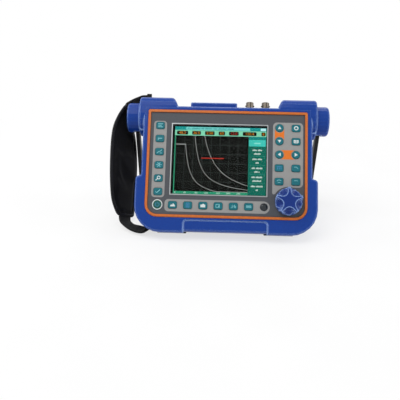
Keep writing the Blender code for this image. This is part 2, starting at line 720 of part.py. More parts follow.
def make_boards():
    """Keypad board round the display, main board on its posts, sounder, battery and its cover."""
    half = TRIM_HALF - LEDGE + BOARD_LAP
    low, high = TRIM_BOTTOM + LEDGE - BOARD_LAP, KEYS_TOP_Z + 0.008
    plate = block((-half, BOARD_Y, low), (half, BOARD_Y + BOARD_THICK, high))
    board = add("keypad_board", plate, "board_green")
    cut_low = (SCREEN_LEFT - 0.0020, 0, SCREEN_BOTTOM - 0.0015)
    boolean(board, cutter("display_space", block(cut_low, (SCREEN_RIGHT + 0.0020, 0.02, high + 0.01))))
    boolean(board, cutter("bush_hole", rod(BUSH_R + GAP, 0, 0.02, "Y", (KNOB_X, KNOB_Z), 16)))
    for name, place, form in key_places():
        x, z = place
        low = (x - SWITCH_HALF, BOARD_Y - GAP, z - SWITCH_HALF)
        switch = block(low, (x + SWITCH_HALF, BOARD_Y + 0.001, z + SWITCH_HALF))
        boolean(board, cutter(f"switch_{name}", switch), operation="UNION")
    z_low, z_high = MAIN_BOARD_Z
    main = block((-MAIN_BOARD_HALF, MAIN_BOARD_Y, z_low), (MAIN_BOARD_HALF, BOARD_BACK, z_high))
    add("main_board", main, "board_green")
    add("sounder", turned(sounder_profile(), "Y", SOUNDER, 20), "black")
    pack_front = BAY_FRONT_Y + GAP
    pack_back = CASE_DEPTH - COVER_THICK - 2 * GAP
    outline = box_outline((-BAY_HALF + GAP, BAY_Z[0] + GAP), (BAY_HALF - GAP, BAY_Z[1] - GAP), 0.003, 3)
    add("battery_pack", prism(outline, pack_front, pack_back), "cell")
    rim = COVER_RIM - GAP
    low = (-BAY_HALF - rim, CASE_DEPTH - COVER_THICK, BAY_Z[0] - rim)
    cover = block(low, (BAY_HALF + rim, CASE_DEPTH, BAY_Z[1] + rim))
    lid = add("battery_cover", cover, "blue")
    for index in range(GRIP_RIBS):
        x = (index - (GRIP_RIBS - 1) / 2) * 0.0045
        low = (x - 0.001, CASE_DEPTH - 0.0007, BAY_Z[1] - 0.012)
        groove = block(low, (x + 0.001, FAR_Y, BAY_Z[1] - 0.004))
        boolean(lid, cutter(f"grip_{index}", groove))


def sounder_profile():
    """Round can with a small hole in its end."""
    seat = BOARD_BACK + GAP
    end = seat + 0.0045
    floor = seat + 0.0030
    return [(0, seat), (0.006, seat), (0.006, end), (0.0015, end), (0.0015, floor), (0, floor)]


# Knob and encoder


def knob_ring(sink, inset):
    """Knob's outline at a level: five scallops that get shallower, and move outward, as they sink in."""
    reach = SCALLOP_CENTRE + sink
    spread = SCALLOP_SPREAD - 0.55 * sink
    radius = KNOB_R - inset
    half = math.acos(min(1.0, (radius**2 + reach**2 - spread**2) / (2 * radius * reach)))
    pitch = 2 * math.pi / KNOB_SCALLOPS
    half = max(half, pitch / 16)
    ring = []
    for scallop in range(KNOB_SCALLOPS):
        middle = SCALLOP_START + scallop * pitch
        for step in range(-3, 4):
            off = half * step / 3
            cut = spread**2 - (reach * math.sin(off)) ** 2
            near = reach * math.cos(off) - math.sqrt(cut) if cut > 0 else radius
            ring.append((min(radius, near), middle + off))
        ring += [(radius, middle + half + (pitch - 2 * half) * step / 3) for step in (1, 2)]
    return [(length * math.cos(angle), length * math.sin(angle)) for length, angle in ring]


def make_knob():
    """Scalloped knob on its shaft, the encoder's rotor that the shaft slides in, and the encoder's body."""
    front = KNOB_BACK_Y - KNOB_HEIGHT
    levels = [
        (front, 0.0, 0.0008),
        (front + 0.0008, 0.0, 0),
        (front + 0.0030, 0.0006, 0),
        (front + 0.0056, 0.0021, 0),
        (front + 0.0086, 0.0052, 0),
        (KNOB_BACK_Y - 0.0004, 0.0070, 0),
        (KNOB_BACK_Y, 0.0070, 0.0004),
    ]
    rings = [(knob_ring(sink, inset), depth) for depth, sink, inset in levels]
    place = (KNOB_X, 0, KNOB_Z)
    knob = add("knob", loft(rings), "blue", place)
    socket = rod(SHAFT_R + GAP, KNOB_BACK_Y - SHAFT_IN - GAP, 0.002, "Y", sides=16)
    boolean(knob, cutter("knob_socket", socket, place))
    rotor = (ENCODER_Y + 0.0022, ENCODER_Y + 0.0048)
    shaft_end = rotor[1] + 0.0015
    add("knob_shaft", rod(SHAFT_R, KNOB_BACK_Y - SHAFT_IN, shaft_end, "Y", sides=16), "steel", place)
    add("encoder_rotor", tube(SHAFT_R + GAP, ROTOR_R, *rotor, "Y", sides=16), "white", place)
    half = ENCODER_HALF
    can = block((-half, ENCODER_Y, -half), (half, ENCODER_Y + 0.0085, half))
    body = add("encoder_body", can, "black", place)
    bush = rod(BUSH_R, PANEL_Y + 0.0003, ENCODER_Y + 0.001, "Y", sides=16)
    boolean(body, cutter("bush", bush, place), operation="UNION")
    bore = rod(SHAFT_R + GAP, 0, shaft_end + PUSH_TRAVEL + GAP, "Y", sides=16)
    room = rod(ROTOR_R + GAP, rotor[0] - GAP, rotor[1] + GAP, "Y", sides=16)
    boolean(body, cutter("bush_bore", bore, place), cutter("rotor_room", room, place))


# Stand


def up_in_case(side_point):
    """Height over the case's origin, in the world, of a point (y, z) of the case."""
    y, z = side_point
    return z * math.cos(LEAN) - y * math.sin(LEAN)


def stand_length():
    """From the stand's axis to the table, along its legs."""
    drop = up_in_case((AXIS_Y, AXIS_Z)) - up_in_case(chamfer_point(0, FOOT_THICK + GAP))
    return drop / math.cos(STAND_OPEN - LEAN)


def make_stand():
    """One-piece stand: two eyes, two legs and a cross bar with rounded bends, and its rubber sole."""
    bar_out = stand_length() - SOLE_THICK - GAP
    place = (0, AXIS_Y, AXIS_Z)
    bends = [(LEG_OUT, -bar_out, BEND_R), (-LEG_OUT, -bar_out, BEND_R)]
    outer = rounded([(-LEG_OUT, 0, 0), (LEG_OUT, 0, 0), *bends])
    thick = LEG_OUT - LEG_IN
    inner = [(-LEG_IN, 0.02, 0), (LEG_IN, 0.02, 0)]
    inner += [(LEG_IN, thick - bar_out, BEND_R - thick), (-LEG_IN, thick - bar_out, BEND_R - thick)]
    bail = add("stand_bail", prism(outer, -LEG_WIDTH / 2, LEG_WIDTH / 2), "black", place, STAND_OPEN)
    space = cutter("bail_space", prism(rounded(inner), -0.02, 0.02), place, STAND_OPEN)
    boolean(bail, space)
    for side in (-1, 1):
        ends = (side * LEG_IN, side * LEG_OUT)
        eye = cutter(f"eye_{side}", rod(EYE_R, *ends, "X", sides=24), place, STAND_OPEN)
        boolean(bail, eye, operation="UNION")
    bore = cutter("eye_bore", rod(PIN_R + GAP, -FAR_X, FAR_X, "X", sides=20), place, STAND_OPEN)
    boolean(bail, bore)
    slant = math.tan(STAND_OPEN - LEAN)
    half = LEG_WIDTH / 2
    reach = stand_length()
    seat = -bar_out - GAP
    sole = [(-half, seat), (half, seat), (half, -reach - half * slant), (-half, -reach + half * slant)]
    add("stand_foot", prism(sole, -SOLE_HALF, SOLE_HALF, "X"), "rubber", place, STAND_OPEN)


def make_hub(name, side):
    """Round cap over one pivot, cut open where the stand's leg swings."""
    start = EAR_HALF + GAP
    pocket = LEG_OUT + GAP
    edge = 0.0032
    corner = arc((HUB_R - edge, HUB_OUT - edge), (edge, edge), 90, 0, 3)
    profile = [(0, HUB_OUT - 0.0006), (HUB_R * 0.55, HUB_OUT - 0.0002), *corner, (HUB_R, start)]
    profile += [(EYE_R + 0.0012, start), (EYE_R + 0.0012, pocket), (PIN_R + GAP, pocket)]
    profile += [(PIN_R + GAP, HUB_OUT - HUB_END), (0, HUB_OUT - HUB_END)]
    place = (0, AXIS_Y, AXIS_Z)
    hub = add(name, turned([(r, side * x) for r, x in profile], "X"), "blue", place)
    play = LEG_WIDTH / 2 + 0.0008
    for index, angle in enumerate((STAND_FOLDED, (STAND_FOLDED + STAND_OPEN) / 2, STAND_OPEN)):
        ends = sorted((side * (EAR_HALF - 0.01), side * pocket))
        swing = block((ends[0], -play, -HUB_R - 0.01), (ends[1], play, 0))
        boolean(hub, cutter(f"{name}_swing_{index}", swing, place, angle))


def make_hubs():
    for name, side in (("left", -1), ("right", 1)):
        make_hub(f"{name}_hub", side)
        centre = (AXIS_Y, AXIS_Z)
        ends = (side * (EAR_HALF - BORE_DEEP + GAP), side * (HUB_OUT - HUB_END - GAP))
        add(f"pivot_pin_{name}", rod(PIN_R, *ends, "X", centre, 20), "steel")
        ends = (side * (EAR_HALF + GAP), side * (LEG_IN - GAP))
        washer = tube(PIN_R + GAP, WASHER_R, *ends, "X", centre, 20)
        add(f"friction_washer_{name}", washer, "steel")


def make_feet():
    """Rubber feet on the resting facet of the back shell."""
    corners = [(0.001, GAP), (FOOT_LONG, GAP), (FOOT_LONG, FOOT_THICK + GAP), (0.001, FOOT_THICK + GAP)]
    outline = [chamfer_point(*corner) for corner in corners]
    for name, side in (("left", -1), ("right", 1)):
        ends = sorted(side * x for x in FOOT_X)
        add(f"foot_{name}", prism(outline, *ends, "X"), "rubber")


# Jacks and port cover


def make_jack(name, x):
    """Bayonet jack: thread and nut inside, flange, shell with two lugs, and the insulated contact."""
    top = TOP_Z - LIP
    wall_in = top - WALL
    profile = [
        (0, wall_in - 0.013),
        (0.0022, wall_in - 0.013),
        (0.0022, wall_in - 0.009),
        (JACK_THREAD_R, wall_in - 0.009),
        (JACK_THREAD_R, wall_in - GAP - 0.0025),
        (JACK_FLANGE_R, wall_in - GAP - 0.0025),
        (JACK_FLANGE_R, wall_in - GAP),
        (JACK_THREAD_R, wall_in - GAP),
        (JACK_THREAD_R, top + GAP),
        (JACK_FLANGE_R, top + GAP),
        (JACK_FLANGE_R, top + 0.0022),
        (JACK_R, top + 0.0022),
        (JACK_R, JACK_TOP - 0.0004),
        (JACK_R - 0.0004, JACK_TOP),
        (JACK_BORE_R, JACK_TOP),
        (JACK_BORE_R, JACK_TOP - 0.0085),
        (0.0024, JACK_TOP - 0.0085),
        (0.0024, JACK_TOP - 0.0012),
        (0.0007, JACK_TOP - 0.0012),
        (0.0007, JACK_TOP - 0.0040),
        (0, JACK_TOP - 0.0040),
    ]
    jack = add(name, turned(profile, "Z", (x, JACK_Y), 16), "nickel")
    for side in (-1, 1):
        ends = sorted((x + side * (JACK_R - 0.0004), x + side * (JACK_R + 0.0009)))
        lug = cutter(f"{name}_lug_{side}", rod(0.00095, *ends, "X", (JACK_Y, JACK_TOP - 0.0045), 8))
        boolean(jack, lug, operation="UNION")


def make_port_cover():
    """Hinged cover with its pin, over the block with the charging and data sockets."""
    low = TOP_Z - LIP + GAP
    outline = box_outline((COVER_X[0], COVER_Y[0]), (COVER_X[1], COVER_Y[1]), 0.0016, 3)
    local = [(x, y - HINGE_Y) for x, y in outline]
    edge = 0.0008
    rings = [(local, low - HINGE_Z), (local, COVER_TOP - edge - HINGE_Z)]
    rings.append((shrunk(local, edge), COVER_TOP - HINGE_Z))
    place = (0, HINGE_Y, HINGE_Z)
    cover = add("port_cover", loft(rings, "Z"), "blue", place)
    wall = COVER_WALL
    inner_low = (COVER_X[0] + wall, low - HINGE_Z - 0.001, COVER_Y[0] + wall - HINGE_Y)
    inner_high = (COVER_X[1] - wall, COVER_TOP - wall - HINGE_Z, COVER_Y[1] - wall - HINGE_Y)
    inner = box_outline((inner_low[0], inner_low[2]), (inner_high[0], inner_high[2]), 0.0006, 2)
    inner = prism(inner, inner_low[1], inner_high[1], "Z")
    boolean(cover, cutter("cover_inside", inner, place))
    stretches = ((COVER_X[0] + 0.002, KNUCKLE_X[0] - GAP), (KNUCKLE_X[1] + GAP, COVER_X[1] - 0.002))
    for index, (start, end) in enumerate(stretches):
        knuckle = cutter(f"cover_knuckle_{index}", rod(HINGE_R, start, end, "X", sides=16), place)
        boolean(cover, knuckle, operation="UNION")
    ends = (COVER_X[0] + 0.0035, COVER_X[1] - 0.0035)
    room = cutter("cover_pin_hole", rod(HINGE_PIN_R + 0.00025, ends[0], ends[1], "X", sides=12), place)
    notch_ends = (KNUCKLE_X[0] - GAP, KNUCKLE_X[1] + GAP)
    clear = HINGE_R + GAP
    notch = [(-clear, -0.004), (clear, -0.004), *arc((0, 0), (clear, clear), 0, 180, 8)]
    boolean(cover, room, cutter("knuckle_notch", prism(notch, *notch_ends, "X"), place))
    add("port_pin", rod(HINGE_PIN_R, ends[0] + GAP, ends[1] - GAP, "X", (HINGE_Y, HINGE_Z), 12), "steel")
    sockets = block((PORT_X[0], PORT_Y[0], PORT_LOW), (PORT_X[1], PORT_Y[1], PORT_TOP))
    body = add("port_block", sockets, "black")
    rim = 0.0018
    flange = block((PORT_X[0] - rim, PORT_Y[0] - rim, low), (PORT_X[1] + rim, PORT_Y[1] + rim, low + 0.002))
    boolean(body, cutter("port_flange", flange), operation="UNION")
    middle = (PORT_Y[0] + PORT_Y[1]) / 2
    data_x = PORT_X[0] + 0.011
    data_low = (data_x - 0.00625, middle - 0.00255, PORT_TOP - 0.011)
    data = block(data_low, (data_x + 0.00625, middle + 0.00255, PORT_TOP + 0.002))
    tongue_low = (data_x - 0.0055, middle - 0.0009, PORT_LOW + 0.002)
    tongue = block(tongue_low, (data_x + 0.0055, middle + 0.0009, PORT_TOP - 0.001))
    power_x = PORT_X[1] - 0.010
    power = turned(power_profile(), "Z", (power_x, middle), 16)
    boolean(body, cutter("data_socket", data))
    boolean(body, cutter("data_tongue", tongue), operation="UNION")
    boolean(body, cutter("power_socket", power))


def power_profile():
    """Round charging socket with its centre pin left standing."""
    floor = PORT_TOP - 0.009
    tip = PORT_TOP - 0.0015
    mouth = PORT_TOP + 0.002
    return [(0, tip), (0.0011, tip), (0.0011, floor), (0.0029, floor), (0.0029, mouth), (0, mouth)]


# Hand strap


def smooth(points, count):
    """Points along a smooth curve through the given ones."""
    out = []
    spans = len(points) - 1
    for step in range(count + 1):
        share = spans * step / count
        index = min(int(share), spans - 1)
        t = share - index
        p1, p2 = points[index], points[index + 1]
        p0 = points[index - 1] if index else 2 * p1 - p2
        p3 = points[index + 2] if index + 2 < len(points) else 2 * p2 - p1
        bend = 2 * p0 - 5 * p1 + 4 * p2 - p3
        twist = 3 * p1 - 3 * p2 + p3 - p0
        out.append(0.5 * (2 * p1 + (p2 - p0) * t + bend * t**2 + twist * t**3))
    return out


def strip(fronts, rears, thickness, section, count):
    """Band between two edge curves; the section gives (across, through) from -1 to 1."""
    front = smooth([Vector(point) for point in fronts], count)
    rear = smooth([Vector(point) for point in rears], count)
    centres = [(a + b) / 2 for a, b in zip(front, rear)]
    rows = []
    for index, centre in enumerate(centres):
        ahead = centres[min(index + 1, count)] - centres[max(index - 1, 0)]
        across = (rear[index] - front[index]) / 2
        through = across.cross(ahead).normalized() * thickness / 2
        rows.append([centre + across * a + through * b for a, b in section])
    return skin(rows)


WEB_SECTION = ((-1, -1), (1, -1), (1, 1), (-1, 1))
PAD_SECTION = (
    (-1, -0.35), (-0.88, -0.55), (-0.7, -1), (0, -1), (0.7, -1), (0.88, -0.55),
    (1, -0.35), (1, 0.35), (0.88, 0.55), (0.7, 1), (0, 1), (-0.7, 1), (-0.88, 0.55), (-1, 0.35),
)

# Edges of the strap from the top down: out from the ear's side and back from the front, in millimetres, and
# height as a share of the case's.
PAD_FRONT = (
    (19.8, 20, 1.046), (23.6, 15, 1.006), (28.6, 12, 0.937),
    (32.8, 10, 0.842), (34.5, 8.5, 0.728), (34.3, 8, 0.570),
    (33.2, 9.5, 0.411), (31, 13, 0.272), (26.4, 17, 0.190),
    (20.8, 26, 0.136),
)
PAD_REAR = (
    (19.6, 43, 1.037), (21, 48, 1.000), (19.8, 51.5, 0.930),
    (15.8, 54.5, 0.848), (11.5, 59, 0.728), (9.4, 62, 0.570),
    (9.1, 62.5, 0.411), (9, 60, 0.272), (8.5, 55, 0.190),
    (11.7, 46, 0.142),
)
TOP_WEB_FRONT = (
    (-1.3, 22, 1.120), (3.7, 21.5, 1.106), (10.8, 20.7, 1.082),
    (16, 21.2, 1.063), (19.2, 21.9, 1.050),
)
TOP_WEB_REAR = (
    (-1.3, 41.5, 1.072), (3.7, 41.3, 1.075), (10.8, 41, 1.071),
    (16, 41.5, 1.057), (19.2, 42, 1.043),
)
BOTTOM_WEB_FRONT = (
    (19.8, 27, 0.130), (18, 23, 0.089), (8.7, 17.5, 0.036),
    (-2.3, 14, 0.009), (-11.3, 12, 0.013),
)
BOTTOM_WEB_REAR = (
    (12.1, 45.2, 0.137), (10.4, 40.5, 0.096), (4.4, 35.5, 0.068),
    (-3.6, 33, 0.058), (-11.8, 31, 0.048),
)


def strap_edge(points):
    height = TOP_Z - BOTTOM_Z
    return [(-EAR_HALF - out / 1000, back / 1000, BOTTOM_Z + share * height) for out, back, share in points]


def make_strap():
    """Padded hand strap with its two webbing ends, the staple above and the pin below."""
    pad = strip(strap_edge(PAD_FRONT), strap_edge(PAD_REAR), PAD_THICK, PAD_SECTION, 18)
    add("strap_pad", pad, "cloth")
    direction = Vector((0, math.cos(STAPLE_TILT), math.sin(STAPLE_TILT)))
    above = Vector((0, -math.sin(STAPLE_TILT), math.cos(STAPLE_TILT)))
    seat = Vector((STAPLE_X, STAPLE_Y, ear_height(STAPLE_Y)))
    bar = seat + above * STAPLE_RISE
    half = WEB_WIDTH / 2
    fronts = [bar - direction * half, *strap_edge(TOP_WEB_FRONT)]
    rears = [bar + direction * half, *strap_edge(TOP_WEB_REAR)]
    top = add("strap_top_web", strip(fronts, rears, WEB_THICK, WEB_SECTION, 16), "cloth")
    loop = cutter("top_loop", rod(STRAP_EYE_R, -half, half, "Y", sides=14), bar, STAPLE_TILT)
    boolean(top, loop, operation="UNION")
    hole = rod(STRAP_PIN_R + GAP, -half - 0.005, half + 0.005, "Y", sides=12)
    boolean(top, cutter("top_loop_hole", hole, bar, STAPLE_TILT))
    half = STAPLE_HALF
    frame = block((-0.003, -half - 0.0022, -0.012), (0.003, half + 0.0022, 0.0018))
    staple = add("strap_staple", frame, "black", bar, STAPLE_TILT)
    window = block((-0.01, -half, -STRAP_EYE_R - 2 * GAP), (0.01, half, 0.01))
    boolean(staple, cutter("staple_window", window, bar, STAPLE_TILT))
    pin = cutter("staple_bar", rod(STRAP_PIN_R, -half - 0.001, half + 0.001, "Y", sides=12), bar, STAPLE_TILT)
    boolean(staple, pin, operation="UNION")
    seat_ends = (STAPLE_X - 0.01, STAPLE_X + 0.01)
    boolean(staple, cutter("staple_seat", prism(shrunk(ear_profile(), -GAP), *seat_ends, "X")))
    x, z = STRAP_PIN
    ends = (STRAP_POCKET_Y[0] + 2 * GAP, STRAP_POCKET_Y[1] - 2 * GAP)
    fronts = [*strap_edge(BOTTOM_WEB_FRONT), (x, ends[0], z - 0.0006)]
    rears = [*strap_edge(BOTTOM_WEB_REAR), (x, ends[1], z - 0.0006)]
    bottom = add("strap_bottom_web", strip(fronts, rears, WEB_THICK, WEB_SECTION, 14), "cloth")
    boolean(bottom, cutter("bottom_loop", rod(STRAP_EYE_R, *ends, "Y", (x, z), 14)), operation="UNION")
    boolean(bottom, cutter("bottom_loop_hole", rod(STRAP_PIN_R + GAP, 0.0, 0.05, "Y", (x, z), 12)))
    add("strap_pin", rod(STRAP_PIN_R, *STRAP_PIN_Y, "Y", (x, z), 12), "steel")


def ear_height(depth):
    """Height of the ear's back at a depth."""
    crown = EAR_FLAT_Z + EAR_BROW - AXIS_Z
    share = (depth - EAR_BROW) / (EAR_BACK_Y - EAR_BROW)
    power = 2 / EAR_FULLNESS
    return AXIS_Z + crown * (1 - share**power) ** (1 / power)


def main():
    clear_scene()
    frame = bpy.data.objects.new("case_frame", None)
    bpy.context.scene.collection.objects.link(frame)
    across = AXIS_Y * math.cos(LEAN) + AXIS_Z * math.sin(LEAN) + stand_length() * math.sin(STAND_OPEN - LEAN)
    frame.location = (0, -across, -up_in_case(chamfer_point(0, FOOT_THICK + GAP)))
    frame.rotation_euler.x = -LEAN
    make_front_housing()
    make_rear_housing()
    make_panel()
    make_keys()
    make_boards()
    make_knob()
    make_stand()
    make_hubs()
    make_feet()
    for name, x in zip(("bnc_transmit", "bnc_receive"), JACK_XS):
        make_jack(name, x)
    make_port_cover()
    make_strap()


main()
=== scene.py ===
from math import atan2, copysign, cos, degrees, hypot, pi, radians, sin, sqrt

import bmesh
import bpy
from mathutils import Matrix, Vector


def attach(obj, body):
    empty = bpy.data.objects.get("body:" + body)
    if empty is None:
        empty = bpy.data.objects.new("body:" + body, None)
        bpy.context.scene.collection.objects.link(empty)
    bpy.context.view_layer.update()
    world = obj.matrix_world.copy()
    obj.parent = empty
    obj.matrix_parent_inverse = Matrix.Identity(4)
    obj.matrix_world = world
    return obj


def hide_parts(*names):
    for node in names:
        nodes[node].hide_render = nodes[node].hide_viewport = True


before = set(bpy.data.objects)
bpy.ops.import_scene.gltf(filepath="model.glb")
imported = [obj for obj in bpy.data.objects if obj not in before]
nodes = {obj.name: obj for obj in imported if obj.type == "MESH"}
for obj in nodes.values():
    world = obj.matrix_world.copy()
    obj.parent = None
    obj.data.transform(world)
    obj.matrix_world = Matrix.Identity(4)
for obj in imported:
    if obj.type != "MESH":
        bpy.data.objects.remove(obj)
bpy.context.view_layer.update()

# Everything below is drawn in the upright case's own frame, in millimetres: x across, y back from the
# front face, z up from the panel's centre. LEANED takes it to where the case leans on its stand.
MM = 0.001
LEAN = radians(33)
CASE_ORIGIN = (0, -0.087639, 0.084133)
LEANED = Matrix.Translation(CASE_ORIGIN) @ Matrix.Rotation(-LEAN, 4, "X") @ Matrix.Scale(MM, 4)
# Turns what is drawn flat, as (x, z), to lie on the face.
UPRIGHT = Matrix.Rotation(radians(90), 4, "X")


# Adding nodes, finishes and pieces


def linear(colour):
    """sRGB hex to linear RGBA."""
    parts = [part / 255 for part in bytes.fromhex(colour[1:])]
    return (*(part / 12.92 if part <= 0.04045 else ((part + 0.055) / 1.055) ** 2.4 for part in parts), 1.0)


def add(tree, kind, links=None, **settings):
    """Shader node with its settings, and its inputs as values or as links from other nodes' outputs."""
    made = tree.nodes.new("ShaderNode" + kind)
    for name, value in settings.items():
        setattr(made, name, value)
    for name, value in (links or {}).items():
        if isinstance(value, bpy.types.NodeSocket):
            tree.links.new(value, made.inputs[name])
        else:
            made.inputs[name].default_value = value
    return made


def maths(tree, operation, *values, **settings):
    """Result of an operation on values or other nodes' outputs."""
    return add(tree, "Math", dict(enumerate(values)), operation=operation, **settings).outputs[0]


def evaluated(made):
    """Object as it is with its modifiers."""
    return made.evaluated_get(bpy.context.evaluated_depsgraph_get())


def placed(name, data):
    """Object in the scene, from its data."""
    made = bpy.data.objects.new(name, data)
    bpy.context.scene.collection.objects.link(made)
    return made


def finish(name, roughness, metallic=0.0, ior=1.5, **sockets):
    """New material with a Principled shader: returns the material, its node tree and the shader."""
    made = bpy.data.materials.new(name)
    made.use_nodes = True
    tree = made.node_tree
    shader = tree.nodes["Principled BSDF"]
    shader.inputs["Roughness"].default_value = roughness
    shader.inputs["Metallic"].default_value = metallic
    shader.inputs["IOR"].default_value = ior
    for name, value in sockets.items():
        shader.inputs[name.replace("_", " ")].default_value = value
    return made, tree, shader


def grain(tree, size_mm, detail=2.0):
    """Noise whose blotches are about size_mm across, from the object's own coordinates."""
    place = add(tree, "TexCoord").outputs["Object"]
    links = {"Vector": place, "Scale": 1 / (size_mm * MM), "Detail": detail}
    return add(tree, "TexNoise", links).outputs["Fac"]


def ramp(tree, factor, low, high, start=0.3, end=0.7):
    """Colour that goes from low to high as the factor goes from start to end."""
    made = add(tree, "ValToRGB", {"Fac": factor})
    elements = made.color_ramp.elements
    elements[0].position, elements[0].color = start, linear(low)
    elements[1].position, elements[1].color = end, linear(high)
    return made.outputs["Color"]


def relief(tree, shader, height, depth_mm):
    """Fine relief of a depth on the whole surface."""
    bump = add(tree, "Bump", {"Height": height, "Distance": depth_mm * MM})
    tree.links.new(bump.outputs["Normal"], shader.inputs["Normal"])


def weave(tree, warp_mm, weft_mm):
    """Plain weave from the cloth's own map in millimetres: 1 on a thread's crown, 0 between threads."""
    place = add(tree, "UVMap", uv_map="cloth_mm").outputs["UV"]
    parts = add(tree, "SeparateXYZ", {"Vector": place})
    crowns = []
    for axis, pitch in (("X", warp_mm), ("Y", weft_mm)):
        crowns.append(maths(tree, "SINE", maths(tree, "MULTIPLY", parts.outputs[axis], pi / pitch)))
    links = {"Value": maths(tree, "MULTIPLY", *crowns), "From Min": -1.0}
    return add(tree, "MapRange", links).outputs["Result"]


def plain(name, low, high, size_mm, roughness, metallic=0.0, bump_mm=0.01, ior=1.5, **sockets):
    """Finish with a slight mottle of two colours and a matching fine relief."""
    made, tree, shader = finish(name, roughness, metallic, ior, **sockets)
    mottle = grain(tree, size_mm)
    tree.links.new(ramp(tree, mottle, low, high), shader.inputs["Base Color"])
    relief(tree, shader, mottle, bump_mm)
    return made


# Width of the painted highlight along the paint's edges, and how alike the rounded and the flat normal are
# where it starts, which leaves out the facets of round pieces, and where it is palest.
HIGHLIGHT_WIDE, HIGHLIGHT_STARTS, HIGHLIGHT_PALEST = 2.5, 0.985, 0.91
# Room round the orange ring that has no painted edge highlight: beside it, and in front and behind.
RING_MARGIN, RING_DEPTH = 2.3, 6.0


def painted_edge_highlight(tree):
    """Share of painted highlight: 0 on the flats, going to 1 where the surface turns over an edge."""
    rounded = add(tree, "Bevel", {"Radius": HIGHLIGHT_WIDE * MM}, samples=6).outputs["Normal"]
    flat = add(tree, "NewGeometry").outputs["Normal"]
    alike = add(tree, "VectorMath", {0: rounded, 1: flat}, operation="DOT_PRODUCT")
    links = {"Value": alike.outputs["Value"], "From Min": HIGHLIGHT_STARTS, "From Max": HIGHLIGHT_PALEST}
    return add(tree, "MapRange", links).outputs["Result"]


def beside_ring(tree):
    """1 beside the orange ring, which covers the edge of its opening, so there is no painted highlight there;
    0 elsewhere.
    """
    corners = [LEANED.inverted() @ vertex.co for vertex in nodes["trim_ring"].data.vertices]
    low, high = (
        Vector([pick(corner[axis] for corner in corners) for axis in range(3)]) for pick in (min, max)
    )
    half = (high - low) / 2 + Vector((RING_MARGIN, RING_DEPTH, RING_MARGIN))
    middle = tuple(LEANED @ ((low + high) / 2))
    place = add(tree, "TexCoord").outputs["Object"]
    from_middle = add(tree, "VectorMath", {0: place, 1: middle}, operation="SUBTRACT").outputs[0]
    inside = 1.0
    for axis, reach in zip(LEANED.to_3x3().transposed(), half):
        links = {0: from_middle, 1: tuple(axis.normalized())}
        along = add(tree, "VectorMath", links, operation="DOT_PRODUCT").outputs["Value"]
        within = maths(tree, "LESS_THAN", maths(tree, "ABSOLUTE", along), reach * MM)
        inside = maths(tree, "MULTIPLY", inside, within)
    return inside


def painted_abs(name, low, high, edge, round_ring=False):
    """ABS, moulded and sprayed: fine bright flakes in the colour, and a painted highlight that turns it pale
    over the edges.
    """
    flake_mm, ripple_mm, ripple_deep = 0.45, 0.8, 0.01
    made, tree, shader = finish(
        name, 0.4, Specular_IOR_Level=0.06, Coat_Weight=0.22, Coat_Roughness=0.1, Coat_IOR=1.5
    )
    colour = ramp(tree, grain(tree, flake_mm, 4.0), low, high, 0.35, 0.68)
    # Painted highlight: the pale edge colour is mixed in where the surface turns over an edge.
    bright = painted_edge_highlight(tree)
    if round_ring:
        bright = maths(tree, "SUBTRACT", bright, beside_ring(tree), use_clamp=True)
    # A mix of colours has its share at input 0, the colours at 6 and 7 and the mixed colour at output 2.
    links = {0: bright, 6: colour, 7: linear(edge)}
    mixed = add(tree, "Mix", links, data_type="RGBA").outputs[2]
    tree.links.new(mixed, shader.inputs["Base Color"])
    relief(tree, shader, grain(tree, ripple_mm, 1.0), ripple_deep)
    return made


def woven(name, low, high, warp_mm, weft_mm, depth_mm, roughness, sheen):
    """Woven cloth: painted shade between the threads, in soft clouds, with their relief and a soft sheen."""
    cloud_mm = 9.0
    made, tree, shader = finish(
        name, roughness, Specular_IOR_Level=0.2, Sheen_Weight=sheen, Sheen_Roughness=0.4
    )
    threads = weave(tree, warp_mm, weft_mm)
    # Painted shade: darker in the hollows between the threads' crowns.
    cloudy = maths(tree, "MULTIPLY", threads, grain(tree, cloud_mm))
    tree.links.new(ramp(tree, cloudy, low, high, 0.1, 0.6), shader.inputs["Base Color"])
    relief(tree, shader, threads, depth_mm)
    return made


def lit(name, colour, strength=1.0):
    """Backlit liquid crystal: an even glow with the faint unevenness of the light behind it."""
    cloud_mm, dimmest = 30, 0.93
    made, tree, shader = finish("lcd_" + name, 0.4, Specular_IOR_Level=0.0, Emission_Strength=strength)
    shader.inputs["Base Color"].default_value = linear("#000000")
    darker = "#" + bytes(round(part * dimmest) for part in bytes.fromhex(colour[1:])).hex()
    tree.links.new(ramp(tree, grain(tree, cloud_mm, 1.0), darker, colour), shader.inputs["Emission Color"])
    return made


# Sprayed ABS mouldings: deep blue with fine flakes, and a painted highlight as a pale line along the edges.
CASE_BLUE = painted_abs("abs_sprayed_metallic_blue", "#12388c", "#1c4aa6", "#a2c2f6", round_ring=True)
KNOB_BLUE = painted_abs("abs_sprayed_knob_blue", "#122c76", "#1a3d90", "#9dbdf2")
# Sprayed ABS ring: an even satin colour with a slight cloudiness of the spray.
TRIM_ORANGE = plain("abs_sprayed_satin_orange", "#c4601a", "#d26f20", 2.5, 0.42, bump_mm=0.004)
# Printed polyester overlay: fine matte grain, drawn at 0.6 mm because the real 0.1 mm doesn't show.
PANEL_GREY = plain("polyester_overlay_matte_grey", "#42454a", "#4d5056", 0.6, 0.66, bump_mm=0.012)
STRIP_GREY = plain("polyester_overlay_light_grey", "#929392", "#a09f9d", 0.6, 0.6)
PRINT_ORANGE = plain("polyester_overlay_orange", "#e26f0c", "#ee7e18", 0.6, 0.58)
# Silk screen ink: flat, slightly uneven where the mesh of the screen left it.
PRINT_WHITE = plain("silk_screen_ink_white", "#d5e0df", "#e8f0ee", 0.5, 0.55, bump_mm=0.004)
PRINT_PALE = plain("silk_screen_ink_pale_cyan", "#6fbcc6", "#8bd0d6", 0.5, 0.55, bump_mm=0.004)
PRINT_SHADE = plain("silk_screen_ink_deep_blue", "#3580b6", "#3f8cc2", 0.5, 0.55, bump_mm=0.004)
